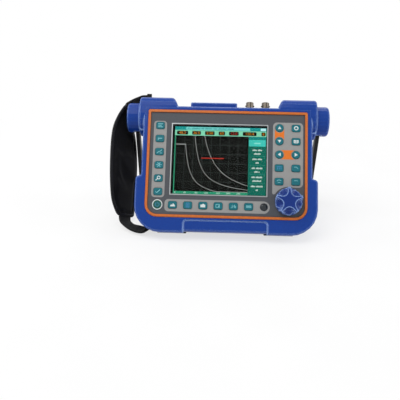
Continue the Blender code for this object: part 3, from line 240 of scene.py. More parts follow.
# Moulded silicone key caps with a clear hard coat, which gives each a small sharp light.
HARD_COAT = {"Specular_IOR_Level": 0.2, "Coat_Weight": 0.3, "Coat_Roughness": 0.12, "bump_mm": 0.008}
KEY_TEAL = plain("silicone_moulded_teal_hard_coated", "#08646f", "#0c7480", 0.7, 0.42, **HARD_COAT)
KEY_GREEN = plain("silicone_moulded_green_hard_coated", "#0f564e", "#14655b", 0.7, 0.42, **HARD_COAT)
# Metals: dull anodised aluminium, whose brushed lines only show as a grain, and clean turned steel.
ALUMINIUM = plain("aluminium_anodised_brushed", "#8e9294", "#a4a8aa", 0.3, 0.33, 1.0)
STEEL = plain("stainless_steel_turned", "#9a9a9c", "#b4b4b6", 0.25, 0.3, 1.0)
# Nickel plate over turned brass: a warm grey, bright metal with faint turning marks.
NICKEL = plain("brass_nickel_plated", "#403b35", "#676159", 0.5, 0.24, 1.0)
# Powder coat on steel: matte black with the small pebbles of the powder.
BLACK_COAT = plain(
    "steel_powder_coated_black", "#0c0c0e", "#151518", 0.35, 0.6, bump_mm=0.03, Specular_IOR_Level=0.3
)
# Mouldings: dull nylon, rubber with a coarse skin, and waxy acetal.
BLACK_NYLON = plain("nylon_moulded_black", "#060607", "#0c0c0e", 0.5, 0.6, Specular_IOR_Level=0.1)
RUBBER = plain("rubber_moulded_black", "#161617", "#222223", 0.8, 0.82, bump_mm=0.03)
WHITE_ACETAL = plain("acetal_moulded_white", "#d9d8d2", "#e6e5df", 0.8, 0.4)
# Inside: glass cloth mottled under its green mask, smooth shrink wrap and a tin plated can.
BOARD = plain("fibreglass_board_green_mask", "#0f5a33", "#16693d", 1.6, 0.35)
WRAP = plain("pvc_shrink_wrap_blue", "#1f4a66", "#2a5a78", 3.0, 0.3)
CAN = plain("tin_plated_steel_can", "#8c8e90", "#9fa1a3", 0.6, 0.35, 1.0)
# Blackened zinc on steel: a dark metal.
BLACK_ZINC = plain("steel_screw_black_zinc", "#2a2a2c", "#3a3a3d", 0.3, 0.35, 1.0)
# Smoked acrylic: dark and glossy.
LENS = plain("acrylic_moulded_smoked_lens", "#101a20", "#1a262d", 1.0, 0.12, ior=1.49)
# Cast acrylic window with an anti-glare coat, which the low IOR stands for: it leaves almost no reflection.
WINDOW, _, window_shader = finish("acrylic_cast_clear_window", 0.02, ior=1.12, Transmission_Weight=1.0)
window_shader.inputs["Base Color"].default_value = linear("#f8fafa")
# Nylon woven over foam: threads 1.1 mm apart, coarser than the real 0.5 mm so that they show.
PAD_CLOTH = woven("nylon_woven_black_over_foam", "#050507", "#0f0f13", 1.1, 1.1, 0.10, 0.85, 0.05)
# Polyester webbing: a ribbed tape weave with crossing ribs 1.3 mm apart.
WEBBING = woven("polyester_webbing_woven_black", "#060608", "#131317", 1.3, 2.2, 0.22, 0.7, 0.05)
# Folded binding tape round the pad's edge: denser and a little shinier than the cloth.
BINDING = woven("polyester_binding_tape_black", "#0b0b0e", "#1b1b20", 0.9, 1.5, 0.14, 0.6, 0.08)
# Twisted polyester thread with a fine rib.
THREAD = plain("polyester_thread_twisted_black", "#131316", "#202025", 0.3, 0.6, bump_mm=0.02)


# Shapes on the face, as outlines of (x, z)


def circle(x, z, radius, sides=32):
    """Round outline."""
    turns = [2 * pi * side / sides for side in range(sides)]
    return [(x + radius * cos(turn), z + radius * sin(turn)) for turn in turns]


def bow(centre, radius, start, end, steps=10):
    """Arc from one angle to another, in degrees."""
    turns = [radians(start + (end - start) * step / steps) for step in range(steps + 1)]
    return [(centre[0] + radius * cos(turn), centre[1] + radius * sin(turn)) for turn in turns]


def box(left, bottom, right, top, radius=0.0, steps=5):
    """Rectangle with rounded corners; a radius per corner goes from bottom left round to top left."""
    radii = radius if isinstance(radius, tuple) else (radius,) * 4
    corners = ((left, bottom, 1, 1), (right, bottom, -1, 1), (right, top, -1, -1), (left, top, 1, -1))
    outline = []
    for index, ((x, z, in_x, in_z), r) in enumerate(zip(corners, radii)):
        if r <= 0:
            outline.append((x, z))
            continue
        start = pi + index * pi / 2
        for step in range(steps + 1):
            turn = start + pi / 2 * step / steps
            outline.append((x + in_x * r + r * cos(turn), z + in_z * r + r * sin(turn)))
    return outline


def line(start, end, width):
    """Straight stroke as a four-cornered outline."""
    along = (Vector(end) - Vector(start)).normalized() * width / 2
    side = Vector((-along.y, along.x))
    return [tuple(Vector(start) - along + side), tuple(Vector(start) - along - side),
            tuple(Vector(end) + along - side), tuple(Vector(end) + along + side)]


def heading(points, index):
    """Way along a line of points at one of them, from its neighbour before to the one after."""
    return Vector(points[min(index + 1, len(points) - 1)]) - Vector(points[max(index - 1, 0)])


def stroke(points, width):
    """Outline of a line of even width through points."""
    left, right = [], []
    for index, point in enumerate(points):
        ahead = heading(points, index)
        side = Vector((-ahead.y, ahead.x)).normalized() * width / 2
        left.append(tuple(Vector(point) + side))
        right.append(tuple(Vector(point) - side))
    return left + right[::-1]


def flat_mesh(curve, place):
    """Mesh of a curve, laid on the face with the curve's own middle at a place."""
    holder = placed(curve.name + "_outline", curve)
    bpy.context.view_layer.update()
    mesh = bpy.data.meshes.new_from_object(evaluated(holder))
    bpy.data.objects.remove(holder)
    mesh.transform(Matrix.Translation(place) @ UPRIGHT)
    return mesh


def plate(name, outlines, front, thick, material, body="case"):
    """Flat piece lying on the face: outlines inside others are holes."""
    curve = bpy.data.curves.new(name, "CURVE")
    curve.dimensions = "2D"
    curve.fill_mode = "BOTH"
    curve.extrude = thick / 2
    for outline in outlines:
        spline = curve.splines.new("POLY")
        spline.points.add(len(outline) - 1)
        for point, (x, z) in zip(spline.points, outline):
            point.co = (x, z, 0, 1)
        spline.use_cyclic_u = True
    return piece(name, flat_mesh(curve, (0, front + thick / 2, 0)), material, body)


def piece(name, mesh, material, body="case", sharp_from=30):
    """Object from a mesh in the case's frame, placed, finished and riding on its body."""
    mesh.transform(LEANED)
    mesh.materials.clear()
    mesh.materials.append(material)
    mesh.shade_smooth()
    mesh.set_sharp_from_angle(angle=radians(sharp_from))
    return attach(placed(name, mesh), body)


def shape(build):
    """Mesh from a bmesh."""
    mesh = bpy.data.meshes.new("shape")
    build.to_mesh(mesh)
    build.free()
    return mesh


def soften(made, name, width_mm, from_angle):
    """Modifier that rounds a piece's sharp edges."""
    bevel = made.modifiers.new(name, "BEVEL")
    bevel.width = width_mm * MM
    bevel.segments = 2
    bevel.limit_method = "ANGLE"
    bevel.angle_limit = radians(from_angle)
    return bevel


# Finishes of the CAD nodes

DRESSED = (
    (CASE_BLUE, "front_housing rear_housing left_hub right_hub battery_cover port_cover"),
    (KNOB_BLUE, "knob"),
    (TRIM_ORANGE, "trim_ring"),
    (PANEL_GREY, "front_panel"),
    (ALUMINIUM, "screen_frame"),
    (WINDOW, "screen_window"),
    (KEY_GREEN, "key_power"),
    (LENS, "status_lamp"),
    (NICKEL, "bnc_transmit bnc_receive"),
    (STEEL, "port_pin knob_shaft pivot_pin_left pivot_pin_right strap_pin"),
    (STEEL, "friction_washer_left friction_washer_right"),
    (BLACK_COAT, "stand_bail"),
    (RUBBER, "foot_left foot_right stand_foot"),
    (BLACK_NYLON, "sounder port_block encoder_body strap_staple strap_pad strap_top_web strap_bottom_web"),
    (WHITE_ACETAL, "encoder_rotor"),
    (BOARD, "keypad_board main_board"),
    (WRAP, "battery_pack"),
    (CAN, "lcd_module"),
)
KEY_EDGE = 0.2
SOFT_EDGES = {
    "front_housing": 0.6, "rear_housing": 0.6, "left_hub": 0.5, "right_hub": 0.5, "port_cover": 0.5,
    "battery_cover": 0.3, "knob": 0.45, "trim_ring": 0.25, "stand_bail": 0.5, "stand_foot": 0.6,
    "foot_left": 0.5, "foot_right": 0.5, "strap_staple": 0.4,
}


def dress_nodes():
    """Gives every solid its finish and the rounding of its edges. All that isn't named is a teal key."""
    finishes = {name: material for material, names in DRESSED for name in names.split()}
    for name, node in nodes.items():
        material = finishes.get(name, KEY_TEAL)
        for slot in node.material_slots:
            slot.material = material
        weld = node.modifiers.new("weld", "WELD")
        weld.merge_threshold = 1e-6
        width = SOFT_EDGES.get(name, KEY_EDGE if material in (KEY_TEAL, KEY_GREEN) else 0)
        if width:
            soften(node, "soft_edges", width, 40).harden_normals = True


# Print round the keys

PANEL_FACE = 0.6
PRINT_THICK = 0.06
LEFT_COLUMN, NEAR_COLUMN, FAR_COLUMN = -83, 64, 84.3
TOP_ROW, BOTTOM_ROW = 47, -52
LEFT_PITCH = 16.6
RIGHT_PITCH = 16.75
BOTTOM_START, BOTTOM_PITCH = -64.5, 18.45
ROUND_KEY_R = 4.9
KEY_HALF_WIDE, KEY_HALF_TALL, KEY_CORNER = 5.25, 4.4, 2.0
KEY_GAP = 0.35
LAMP, LAMP_R = (46.2, -52), 5.0
KNOB, KNOB_ROOM_R = (75.6, -45), 18.8
ARROW_BAR_R, ARROW_BAR_SPREAD = 5.9, 78
POWER_RING_R, POWER_RING_FRONT, POWER_RING_THICK = (6.3, 5.2), 0.2, 0.4


def key_places():
    """Place of every key on the face, by its node's name."""
    places = {f"key_left_{row + 1}": (LEFT_COLUMN, TOP_ROW - LEFT_PITCH * row) for row in range(6)}
    for column in range(6):
        places[f"key_bottom_{column + 1}"] = (BOTTOM_START + BOTTOM_PITCH * column, BOTTOM_ROW)
    rows = [TOP_ROW - RIGHT_PITCH * row for row in range(5)]
    places["key_power"] = (LEFT_COLUMN, BOTTOM_ROW)
    places["arrow_up"], places["arrow_down"] = (NEAR_COLUMN, rows[0]), (NEAR_COLUMN, rows[1])
    places["arrow_left"], places["arrow_right"] = (NEAR_COLUMN, rows[2]), (FAR_COLUMN, rows[2])
    others = [(FAR_COLUMN, rows[0]), (FAR_COLUMN, rows[1])]
    others += [(column, row) for row in rows[3:] for column in (NEAR_COLUMN, FAR_COLUMN)]
    places.update({f"key_right_{index + 1}": place for index, place in enumerate(others)})
    return places


def key_hole(name, place):
    """Outline of a key with the gap round it."""
    x, z = place
    if name == "key_power" or name.startswith("arrow"):
        return circle(x, z, ROUND_KEY_R + KEY_GAP, 28)
    return box(
        x - KEY_HALF_WIDE - KEY_GAP, z - KEY_HALF_TALL - KEY_GAP,
        x + KEY_HALF_WIDE + KEY_GAP, z + KEY_HALF_TALL + KEY_GAP, KEY_CORNER + KEY_GAP,
    )


def bar_between(first, second):
    """Bar from one round key to the next, hollowed at both ends to pass round them."""
    ahead = Vector(second) - Vector(first)
    angle = degrees(atan2(ahead.y, ahead.x))
    near = bow(first, ARROW_BAR_R, angle - ARROW_BAR_SPREAD, angle + ARROW_BAR_SPREAD)
    angle += 180
    return near + bow(second, ARROW_BAR_R, angle - ARROW_BAR_SPREAD, angle + ARROW_BAR_SPREAD)


def print_panel():
    """Light grey fields round the keys, orange bars between the arrows and the ring of the power key."""
    places = key_places()
    front = PANEL_FACE - PRINT_THICK
    bottom = box(-74.2, -60, 53.2, -45, (4.5, 7.4, 7.4, 4.5), 8)
    # The right field's lower edge passes round the knob, down to a short leg at its left.
    right = bow((88, -22), 5, 0, -90, 6) + bow(KNOB, KNOB_ROOM_R, 72, 150, 14) + [(57.4, -36), (56, -34.6)]
    right += bow((61, 49), 5, 180, 90, 6) + bow((88, 49), 5, 90, 0, 6)
    for side, keys, outlines in (
        ("left", "key_left", [box(-91, -43, -75, 53, 4)]),
        ("bottom", "key_bottom", [bottom, circle(*LAMP, LAMP_R)]),
        ("right", ("arrow", "key_right"), [right]),
    ):
        outlines += [key_hole(name, place) for name, place in places.items() if name.startswith(keys)]
        plate(f"key_field_{side}", outlines, front, PRINT_THICK, STRIP_GREY)
    for name, ends in (("upright", ("arrow_up", "arrow_down")), ("level", ("arrow_left", "arrow_right"))):
        outline = bar_between(*(places[end] for end in ends))
        plate(f"arrow_bar_{name}", [outline], front - PRINT_THICK, PRINT_THICK, PRINT_ORANGE)
    rings = [circle(*places["key_power"], radius, 40) for radius in POWER_RING_R]
    plate("power_ring", rings, POWER_RING_FRONT, POWER_RING_THICK, PRINT_WHITE)


# Symbols on the keys: plain signs, each from the middle of its key

KEY_FACE = -0.6
SIGN_PROUD, SIGN_THICK = 0.04, 0.05


def ring(x, z, outer, inner):
    """Ring as two outlines."""
    return [circle(x, z, outer, 24), circle(x, z, inner, 24)]


def frame_sign(left, bottom, right, top, width):
    """Frame as two outlines."""
    inner = box(left + width, bottom + width, right - width, top - width)
    return [box(left, bottom, right, top, 0.5, 2), inner]


def rays(count, start, end, width):
    """Short strokes outward from a middle."""
    turns = [2 * pi * index / count for index in range(count)]
    ways = [(cos(turn), sin(turn)) for turn in turns]
    return [line((start * x, start * z), (end * x, end * z), width) for x, z in ways]


def key_signs():
    """Ink and outlines of every key's sign."""
    hill = [(-3.0, -2.0), (-1.5, 0.6), (-0.5, -0.5), (0.9, 1.9), (3.0, -0.6), (3.0, -2.0)]
    folder = [(-2.9, -2.2), (2.9, -2.2), (2.9, 1.1), (1.8, 1.1)]
    folder += [(1.2, 2.0), (-0.2, 2.0), (-0.8, 1.1), (-2.9, 1.1)]
    rainbow = [(-2.6, 0.4), (-1.2, 1.7), (0.8, 1.8), (2.4, 0.9)]
    echo = [(-3.0, -1.8), (-1.8, -1.8), (-1.4, 1.9), (-0.6, -1.9), (0.2, 0.8)]
    steps = [(-3.0, -2.2), (-1.0, -0.4), (1.0, 0.2), (3.0, 2.2)]
    page_lines = [box(-1, 0.8, 1, 1.4), box(-1, -0.4, 1, 0.2), box(-1, -1.6, 1, -1)]
    pages = [box(-3.0, -1.6, -0.3, 1.7), box(0.3, -1.6, 3.0, 1.7), box(-2.2, -2.4, 2.2, -2.0)]
    columns = [box(-3, 1.2, 3, 1.9), box(-2.6, -1.9, -1.8, 0.6), box(-0.4, -1.9, 0.4, 0.6)]
    pale = {
        "key_left_1": [box(-2.8, 1.5, 2.8, 2.3), box(-2.8, -0.4, 1.4, 0.4), box(-2.8, -2.3, 2.8, -1.5)],
        "key_left_2": [box(-2.4, -0.5, 2.6, 0.5), [(-2.6, -1.8), (-1.4, -1.8), (-2.0, 1.8)]],
        "key_left_3": [stroke(steps, 0.8), box(0.8, -2.3, 3, -1.5)],
        "key_left_4": [*ring(0, 0, 1.5, 0.7), *rays(6, 2.1, 3.0, 0.7)],
        "key_left_6": [stroke([(-2.7, -0.1), (-1.3, -1.7), (2.8, 2.2)], 0.9)],
        "key_bottom_4": [*frame_sign(-3.0, -2.1, 2.0, 2.1, 0.6), circle(0.9, -0.4, 0.9, 12)],
        "key_bottom_5": [stroke(echo, 0.6), box(1, -2, 1.7, 1.6), box(2.4, -2, 3.1, 0.4)],
        "key_bottom_6": [*frame_sign(-3.1, -1.4, 3.1, 1.4, 0.6), box(-1.9, -0.4, 1.9, 0.4)],
        "key_right_4": [stroke([(-2.4, 1.2), (-0.4, 1.6), (1.2, 1.0), (2.2, -0.6)], 0.7)],
        "key_right_5": [stroke(rainbow, 0.7), box(-1.6, -1.6, 1.6, -1)],
        "key_right_6": [stroke([(-2.0, 1.3), (0.4, 1.5), (2.4, 1.1)], 0.7)],
    }
    white = {
        "key_left_5": [*ring(0.5, 0.5, 2.2, 1.3), line((-1.4, -1.4), (-2.9, -2.6), 0.9)],
        "key_bottom_1": [hill],
        "key_bottom_3": [folder],
        "key_right_1": ring(0, 0, 2.7, 1.5),
        "key_right_2": [*pages, box(-2.4, -0.3, -1.0, 0.2), box(1.0, -0.3, 2.4, 0.2)],
        "arrow_up": [[(-2.2, -1.6), (2.2, -1.6), (0, 2.1)]],
        "arrow_down": [[(2.2, 1.6), (-2.2, 1.6), (0, -2.1)]],
        "arrow_left": [[(1.7, -2.3), (1.7, 2.3), (-2.1, 0)]],
        "arrow_right": [[(-1.7, 2.3), (-1.7, -2.3), (2.1, 0)]],
    }
    shade = {
        "key_bottom_2": [*frame_sign(-2.1, -2.8, 2.1, 2.8, 0.6), *page_lines],
        "key_right_3": [*columns, box(1.8, -1.9, 2.6, 0.6)],
        "key_power": [stroke(bow((0, 0), 2.4, 125, 415, 20), 0.5), box(-0.25, 0.9, 0.25, 3.1)],
    }
    inks = ((PRINT_PALE, pale), (PRINT_WHITE, white), (PRINT_SHADE, shade))
    return {name: (ink, outlines) for ink, signs in inks for name, outlines in signs.items()}


def print_keys():
    """A sign on every key, which moves with it."""
    signs = key_signs()
    for name, (x, z) in key_places().items():
        ink, outlines = signs[name]
        moved = [[(across + x, up + z) for across, up in outline] for outline in outlines]
        plate(f"sign_{name}", moved, KEY_FACE - SIGN_PROUD, SIGN_THICK, ink, name)


dress_nodes()
print_panel()
print_keys()


# Screws in the wells of the back shell

SCREW_WELLS = ((-88, 30), (88, 30), (-90, -48), (90, -48))
CASE_DEEP, WELL_DEEP = 48.0, 2.6
SCREW_FLOOR = CASE_DEEP - WELL_DEEP
SEAT_R, SEAT_GAP, SEAT_THICK = 2.65, 0.02, 0.5
HEAD_R, HEAD_THICK, HEAD_EDGE = 2.7, 1.1, 0.3
CROSS_HALF, CROSS_REACH = 0.32, 1.5


def fit_screws():
    """Pan heads with a cross recess, each seated on the floor of its well."""
    arm, reach = CROSS_HALF, CROSS_REACH
    cross = [(arm, arm), (arm, reach), (-arm, reach), (-arm, arm), (-reach, arm), (-reach, -arm)]
    cross += [(-across, -up) for across, up in cross]
    for index, (x, z) in enumerate(SCREW_WELLS):
        outlines = [circle(x, z, HEAD_R, 28), [(x + across, z + up) for across, up in cross]]
        head = plate(f"screw_head_{index + 1}", outlines, SCREW_FLOOR + SEAT_THICK, HEAD_THICK, BLACK_ZINC)
        soften(head, "pan_edge", HEAD_EDGE, 50)
        seat = [circle(x, z, SEAT_R, 28)]
        plate(f"screw_seat_{index + 1}", seat, SCREW_FLOOR + SEAT_GAP, SEAT_THICK, BLACK_ZINC)


fit_screws()


# Strap: along the strap's solids and up to about 3 mm beside them, from the top down

PAD_FRONT = (
    (-129.8, 20.3, 80.2), (-132.8, 15.5, 73.8), (-138.2, 12.4, 62.6), (-142.8, 10, 48), (-144.4, 8.5, 30),
    (-144.2, 8, 5), (-143.2, 9.5, -20), (-141.2, 13, -42), (-138, 17, -54), (-134.6, 24.5, -63.2),
)
PAD_REAR = (
    (-129.6, 43, 78.8), (-129.8, 48, 73), (-127.4, 52, 62), (-123.4, 55.5, 49), (-120.8, 59.5, 30),
    (-119.2, 62, 5), (-119.3, 62.5, -20), (-119.4, 60.5, -40), (-119.2, 56.5, -53), (-118.6, 49, -62.6),
)
PAD_ROWS, PAD_COLUMNS = 56, 18
PAD_HALF, FLANGE_HALF = 3.5, 1.15
FLANGE_WIDE, CROWN_WIDE = 2.6, 8.5
PAD_CORNER = 3.5
PAD_CLOTH_WIDE = 56
# Rows of the cloth's mesh: an even step down the pad, and closer together in the last part at both ends.
PAD_STEPS = 48
NEAR_END, END_LONG = (0.0, 0.4, 1.2, 2.4, 4.2), 5.4
END_STEPS = 10
FOAM_FRAMES, FOAM_LIMIT = 20, 1.5
FOAM_CLOTH = {
    "quality": 6, "mass": 0.2, "use_pressure": True, "uniform_pressure_force": 4.0, "shrink_min": -0.05,
    "bending_stiffness": 0.2,
}
BINDING_WIDE = 3.4
STITCH_LONG, STITCH_THICK, STITCH_SIDES = 2.1, 0.26, 6
STITCH_PITCH, STITCH_IN, STITCH_OUT = 3.0, 2.3, 1.6
# Edges of each web, from the pin it goes round to where it ends inside the pad.
WEB_HALF_WIDE, WEB_HALF_THICK = 10, 0.65
BAR = Vector((-101, 31.7, 87.4))
BAR_REACH = Vector((0, 0.9135, -0.4067)) * WEB_HALF_WIDE
TOP_PIN = (BAR - BAR_REACH, BAR + BAR_REACH)
TOP_WEB_FRONT = (
    (-109.5, 22, 92), (-114.5, 21.5, 89.8), (-121.6, 20.7, 86), (-126.8, 21.2, 83), (-130, 21.9, 80.9),
    (-132.8, 22, 74.8),
)
TOP_WEB_REAR = (
    (-109.5, 41.5, 84.4), (-114.5, 41.3, 84.8), (-121.6, 41, 84.2), (-126.8, 41.5, 82), (-130, 42, 79.8),
    (-132.2, 41, 74.2),
)
BOTTOM_PIN = (Vector((-93, 12.1, -77.3)), Vector((-93, 31.2, -77.3)))
BOTTOM_WEB_FRONT = (
    (-99.5, 12.2, -84.8), (-108.5, 15, -84.8), (-119.5, 19, -80.4), (-130, 23.6, -72), (-132.8, 27, -64.6),
    (-132.6, 29.5, -57.0),
)
BOTTOM_WEB_REAR = (
    (-99, 31, -77.4), (-107.2, 33, -75.6), (-115, 35.4, -73.9), (-120.6, 40, -69.4), (-122.2, 45, -63.2),
    (-124.4, 46.0, -56.4),
)
WEB_ROWS = 20
# Each of the two layers lies WEB_LAYER from the web's middle, and spreads to WRAP_R over the last WRAP_NEAR
# before the pin's middle. Its own rows end LEAVES_PIN from there, where the turn round the pin takes over.
WEB_LAYER, WRAP_R, WRAP_NEAR, LEAVES_PIN = 0.72, 2.35, 8.0, 2.2
WRAP_STEPS = 10


def smooth(points, count):
    """Points along a smooth curve through the given ones."""
    points = [Vector(point) for point in points]
    out = []
    spans = len(points) - 1
    for step in range(count + 1):
        share = spans * step / count
        index = min(int(share), spans - 1)
        t = share - index
        p1, p2 = points[index], points[index + 1]
        p0 = points[index - 1] if index else 2 * p1 - p2
        p3 = points[index + 2] if index + 2 < len(points) else 2 * p2 - p1
        bend = 2 * p0 - 5 * p1 + 4 * p2 - p3
        twist = 3 * p1 - 3 * p2 + p3 - p0
        out.append(0.5 * (2 * p1 + (p2 - p0) * t + bend * t**2 + twist * t**3))
    return out


def running(points):
    """Length along a line of points up to each of them."""
    lengths = [0.0]
    for before, after in zip(points, points[1:]):
        lengths.append(lengths[-1] + (after - before).length)
    return lengths


def ease(share):
    """Soft step from 0 to 1."""
    share = min(max(share, 0.0), 1.0)
    return share * share * (3 - 2 * share)


def band(rows, across_mm, along_mm, endless=False):
    """Closed tube of rings, capped or endless, mapped in millimetres across and along its cloth."""
    count = len(rows[0])
    build = bmesh.new()
    cloth = build.loops.layers.uv.new("cloth_mm")
    rings = [[build.verts.new(point) for point in row] for row in (rows[:-1] if endless else rows)]
    if endless:
        rings.append(rings[0])
    for row, (near, far) in enumerate(zip(rings, rings[1:])):
        for side in range(count):
            after = (side + 1) % count
            face = build.faces.new((near[side], near[after], far[after], far[side]))
            places = ((side, row), (side + 1, row), (side + 1, row + 1), (side, row + 1))
            for loop, (column, place) in zip(face.loops, places):
                loop[cloth].uv = (across_mm[column], along_mm[place])
    for end in () if endless else (rings[0], rings[-1]):
        for side in range(count // 2 - 1):
            face = build.faces.new((end[side], end[side + 1], end[count - 2 - side], end[count - 1 - side]))
            for loop, column in zip(face.loops, (side, side + 1, side + 1, side)):
                loop[cloth].uv = (across_mm[column], 0)
    bmesh.ops.recalc_face_normals(build, faces=build.faces)
    return shape(build)


def subdivided(made):
    """Rounds a piece by one level of subdivision."""
    smoother = made.modifiers.new("smoother", "SUBSURF")
    smoother.levels = smoother.render_levels = 1


class PadSurface:
    """The pad's middle surface: rows from the top down, each with its centre, half width and outward side."""

    def __init__(self):
        fronts, rears = smooth(PAD_FRONT, PAD_ROWS), smooth(PAD_REAR, PAD_ROWS)
        centres = [(front + rear) / 2 for front, rear in zip(fronts, rears)]
        lengths = running(centres)
        self.length = lengths[-1]
        self.rows = []
        for index, centre in enumerate(centres):
            across = (rears[index] - fronts[index]) / 2
            out = across.cross(heading(centres, index)).normalized()
            self.rows.append((centre, across, out, lengths[index]))

    def row(self, along_mm):
        """Centre, unit way across, outward side and half width at a length down the pad."""
        for (c0, a0, n0, l0), (c1, a1, n1, l1) in zip(self.rows, self.rows[1:]):
            if along_mm <= l1 or l1 == self.length:
                t = (along_mm - l0) / (l1 - l0)
                across = a0.lerp(a1, t)
                return c0.lerp(c1, t), across.normalized(), n0.lerp(n1, t).normalized(), across.length

    def reach(self, along_mm):
        """Half width there, drawn in by the rounded corners at both ends."""
        half = self.row(along_mm)[3]
        from_end = min(along_mm, self.length - along_mm)
        if from_end < PAD_CORNER:
            half -= PAD_CORNER - sqrt(max(PAD_CORNER**2 - (PAD_CORNER - from_end) ** 2, 0.0))
        return half

    def at(self, along_mm, across_mm, proud_mm):
        """Point on the pad, proud of its middle surface or, if negative, behind it."""
        centre, across, out, _ = self.row(along_mm)
        return centre + across * across_mm + out * proud_mm


def fitted(made, edges):
    """Simulates the foam's pressure in the cloth, sewn fast round its flange, and keeps the change small."""
    sewn = made.vertex_groups.new(name="sewn")
    sewn.add([index for index, edge in enumerate(edges) if edge < BINDING_WIDE], 1.0, "REPLACE")
    before = [vertex.co.copy() for vertex in made.data.vertices]
    cloth = made.modifiers.new("foam", "CLOTH")
    for setting, value in FOAM_CLOTH.items():
        setattr(cloth.settings, setting, value)
    cloth.settings.vertex_group_mass = sewn.name
    cloth.settings.effector_weights.gravity = 0.0
    for frame_number in range(1, FOAM_FRAMES + 1):
        bpy.context.scene.frame_set(frame_number)
    after = [vertex.co.copy() for vertex in evaluated(made).data.vertices]
    made.modifiers.remove(cloth)
    bpy.context.scene.frame_set(1)
    most = FOAM_LIMIT * MM
    for vertex, start, end in zip(made.data.vertices, before, after):
        moved = end - start
        vertex.co = start + (moved if moved.length < most else moved.normalized() * most)


def make_pad():
    """Foam pad in woven nylon, bound with tape round its edge and sewn through."""
    pad = PadSurface()
    steps = [pad.length * step / PAD_STEPS for step in range(PAD_STEPS + 1)]
    places = [*NEAR_END, *(place for place in steps if END_LONG < place < pad.length - END_LONG)]
    places += [pad.length - place for place in reversed(NEAR_END)]
    rows, edges = [], []
    for place in places:
        reach = pad.reach(place)
        from_end = min(place, pad.length - place)
        row = []
        for side in (1, -1):
            for column in range(PAD_COLUMNS + 1):
                share = side * (2 * column / PAD_COLUMNS - 1)
                # Closer together towards both edges, where the pad's thickness changes.
                share = copysign(abs(share) ** 0.8, share)
                edge = min(reach * (1 - abs(share)), from_end)
                half = FLANGE_HALF + (PAD_HALF - FLANGE_HALF) * ease((edge - FLANGE_WIDE) / CROWN_WIDE)
                row.append(pad.at(place, reach * share, side * half))
                edges.append(edge)
        rows.append(row)
    across_mm = [PAD_CLOTH_WIDE * column / PAD_COLUMNS for column in range(2 * PAD_COLUMNS + 3)]
    body = piece("pad", band(rows, across_mm, places), PAD_CLOTH, sharp_from=60)
    fitted(body, edges)
    subdivided(body)
    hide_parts("strap_pad")
    rim = rim_of(pad, places)
    bind_pad(rim)
    stitch_pad(rim)


def rim_of(pad, places):
    """Points round the pad's edge, each with the way in and the outward side."""
    first, last = 0.0, places[-1]
    shares = [2 * step / END_STEPS for step in range(1, END_STEPS)]
    loop = [(place, -pad.reach(place)) for place in places]
    loop += [(last, pad.reach(last) * (share - 1)) for share in shares]
    loop += [(place, pad.reach(place)) for place in reversed(places)]
    loop += [(first, pad.reach(first) * (1 - share)) for share in shares]
    points = [pad.at(along, across, 0) for along, across in loop]
    outs = [pad.row(along)[2] for along, _ in loop]
    rim = []
    for index, (point, out) in enumerate(zip(points, outs)):
        ahead = points[(index + 1) % len(points)] - points[index - 1]
        rim.append((point, out.cross(ahead).normalized(), out))
    middle = pad.at(pad.length / 2, 0, 0)
    point, inward, _ = rim[len(places) // 2]
    if inward.dot(middle - point) < 0:
        rim = [(point, -inward, out) for point, inward, out in rim]
    return rim


def bind_pad(rim):
    """Tape folded round the edge."""
    section = (
        (BINDING_WIDE, 1.45), (2.0, 1.55), (0.5, 1.5), (-0.3, 1.1), (-0.55, 0),
        (-0.3, -1.1), (0.5, -1.5), (2.0, -1.55), (BINDING_WIDE, -1.45), (BINDING_WIDE, 0),
    )
    across_mm = [0, 1.4, 2.9, 3.8, 4.9, 6.0, 6.9, 8.4, 9.8, 11, 12.4]
    closed = rim + rim[:1]
    rows = [[point + inward * a + out * b for a, b in section] for point, inward, out in closed]
    along_mm = running([point for point, _, _ in closed])
    made = piece("pad_binding", band(rows, across_mm, along_mm, endless=True), BINDING, sharp_from=50)
    subdivided(made)


def stitch(build, centre, along, out):
    """One stitch: a short thread that dips into the cloth at both ends."""
    side = along.cross(out).normalized() * STITCH_THICK
    lift = out * STITCH_THICK
    ahead = along.normalized() * STITCH_LONG / 2
    tips = [build.verts.new(centre - ahead - lift), build.verts.new(centre + ahead - lift)]
    turns = [2 * pi * step / STITCH_SIDES for step in range(STITCH_SIDES)]
    rings = []
    for share, swell in ((-0.55, 0.9), (0.0, 1.1), (0.55, 0.9)):
        middle = centre + ahead * share
        spokes = [(side * cos(turn) + lift * sin(turn)) * swell for turn in turns]
        rings.append([build.verts.new(middle + spoke) for spoke in spokes])
    pairs = [(step, (step + 1) % STITCH_SIDES) for step in range(STITCH_SIDES)]
    for first, second in zip(rings, rings[1:]):
        for near, far in pairs:
            build.faces.new((first[near], first[far], second[far], second[near]))
    for near, far in pairs:
        build.faces.new((tips[0], rings[0][far], rings[0][near]))
    for near, far in pairs:
        build.faces.new((rings[-1][near], rings[-1][far], tips[1]))


def stitch_row(build, points, outs):
    """Stitches at an even pitch along a line of points."""
    left = STITCH_PITCH / 2
    for (start, end), out in zip(zip(points, points[1:]), outs):
        span = (end - start).length
        if span < 1e-6:
            continue
        way = (end - start) / span
        place = left
        while place < span:
            stitch(build, start + way * place, way, out)
            place += STITCH_PITCH
        left = place - span


def stitch_pad(rim):
    """Rows through the binding on both faces."""
    build = bmesh.new()
    closed = rim + rim[:1]
    for side in (1, -1):
        points = [point + inward * STITCH_IN + out * side * STITCH_OUT for point, inward, out in closed]
        stitch_row(build, points, [out * side for _, _, out in closed])
    piece("pad_stitches", shape(build), THREAD, sharp_from=80)


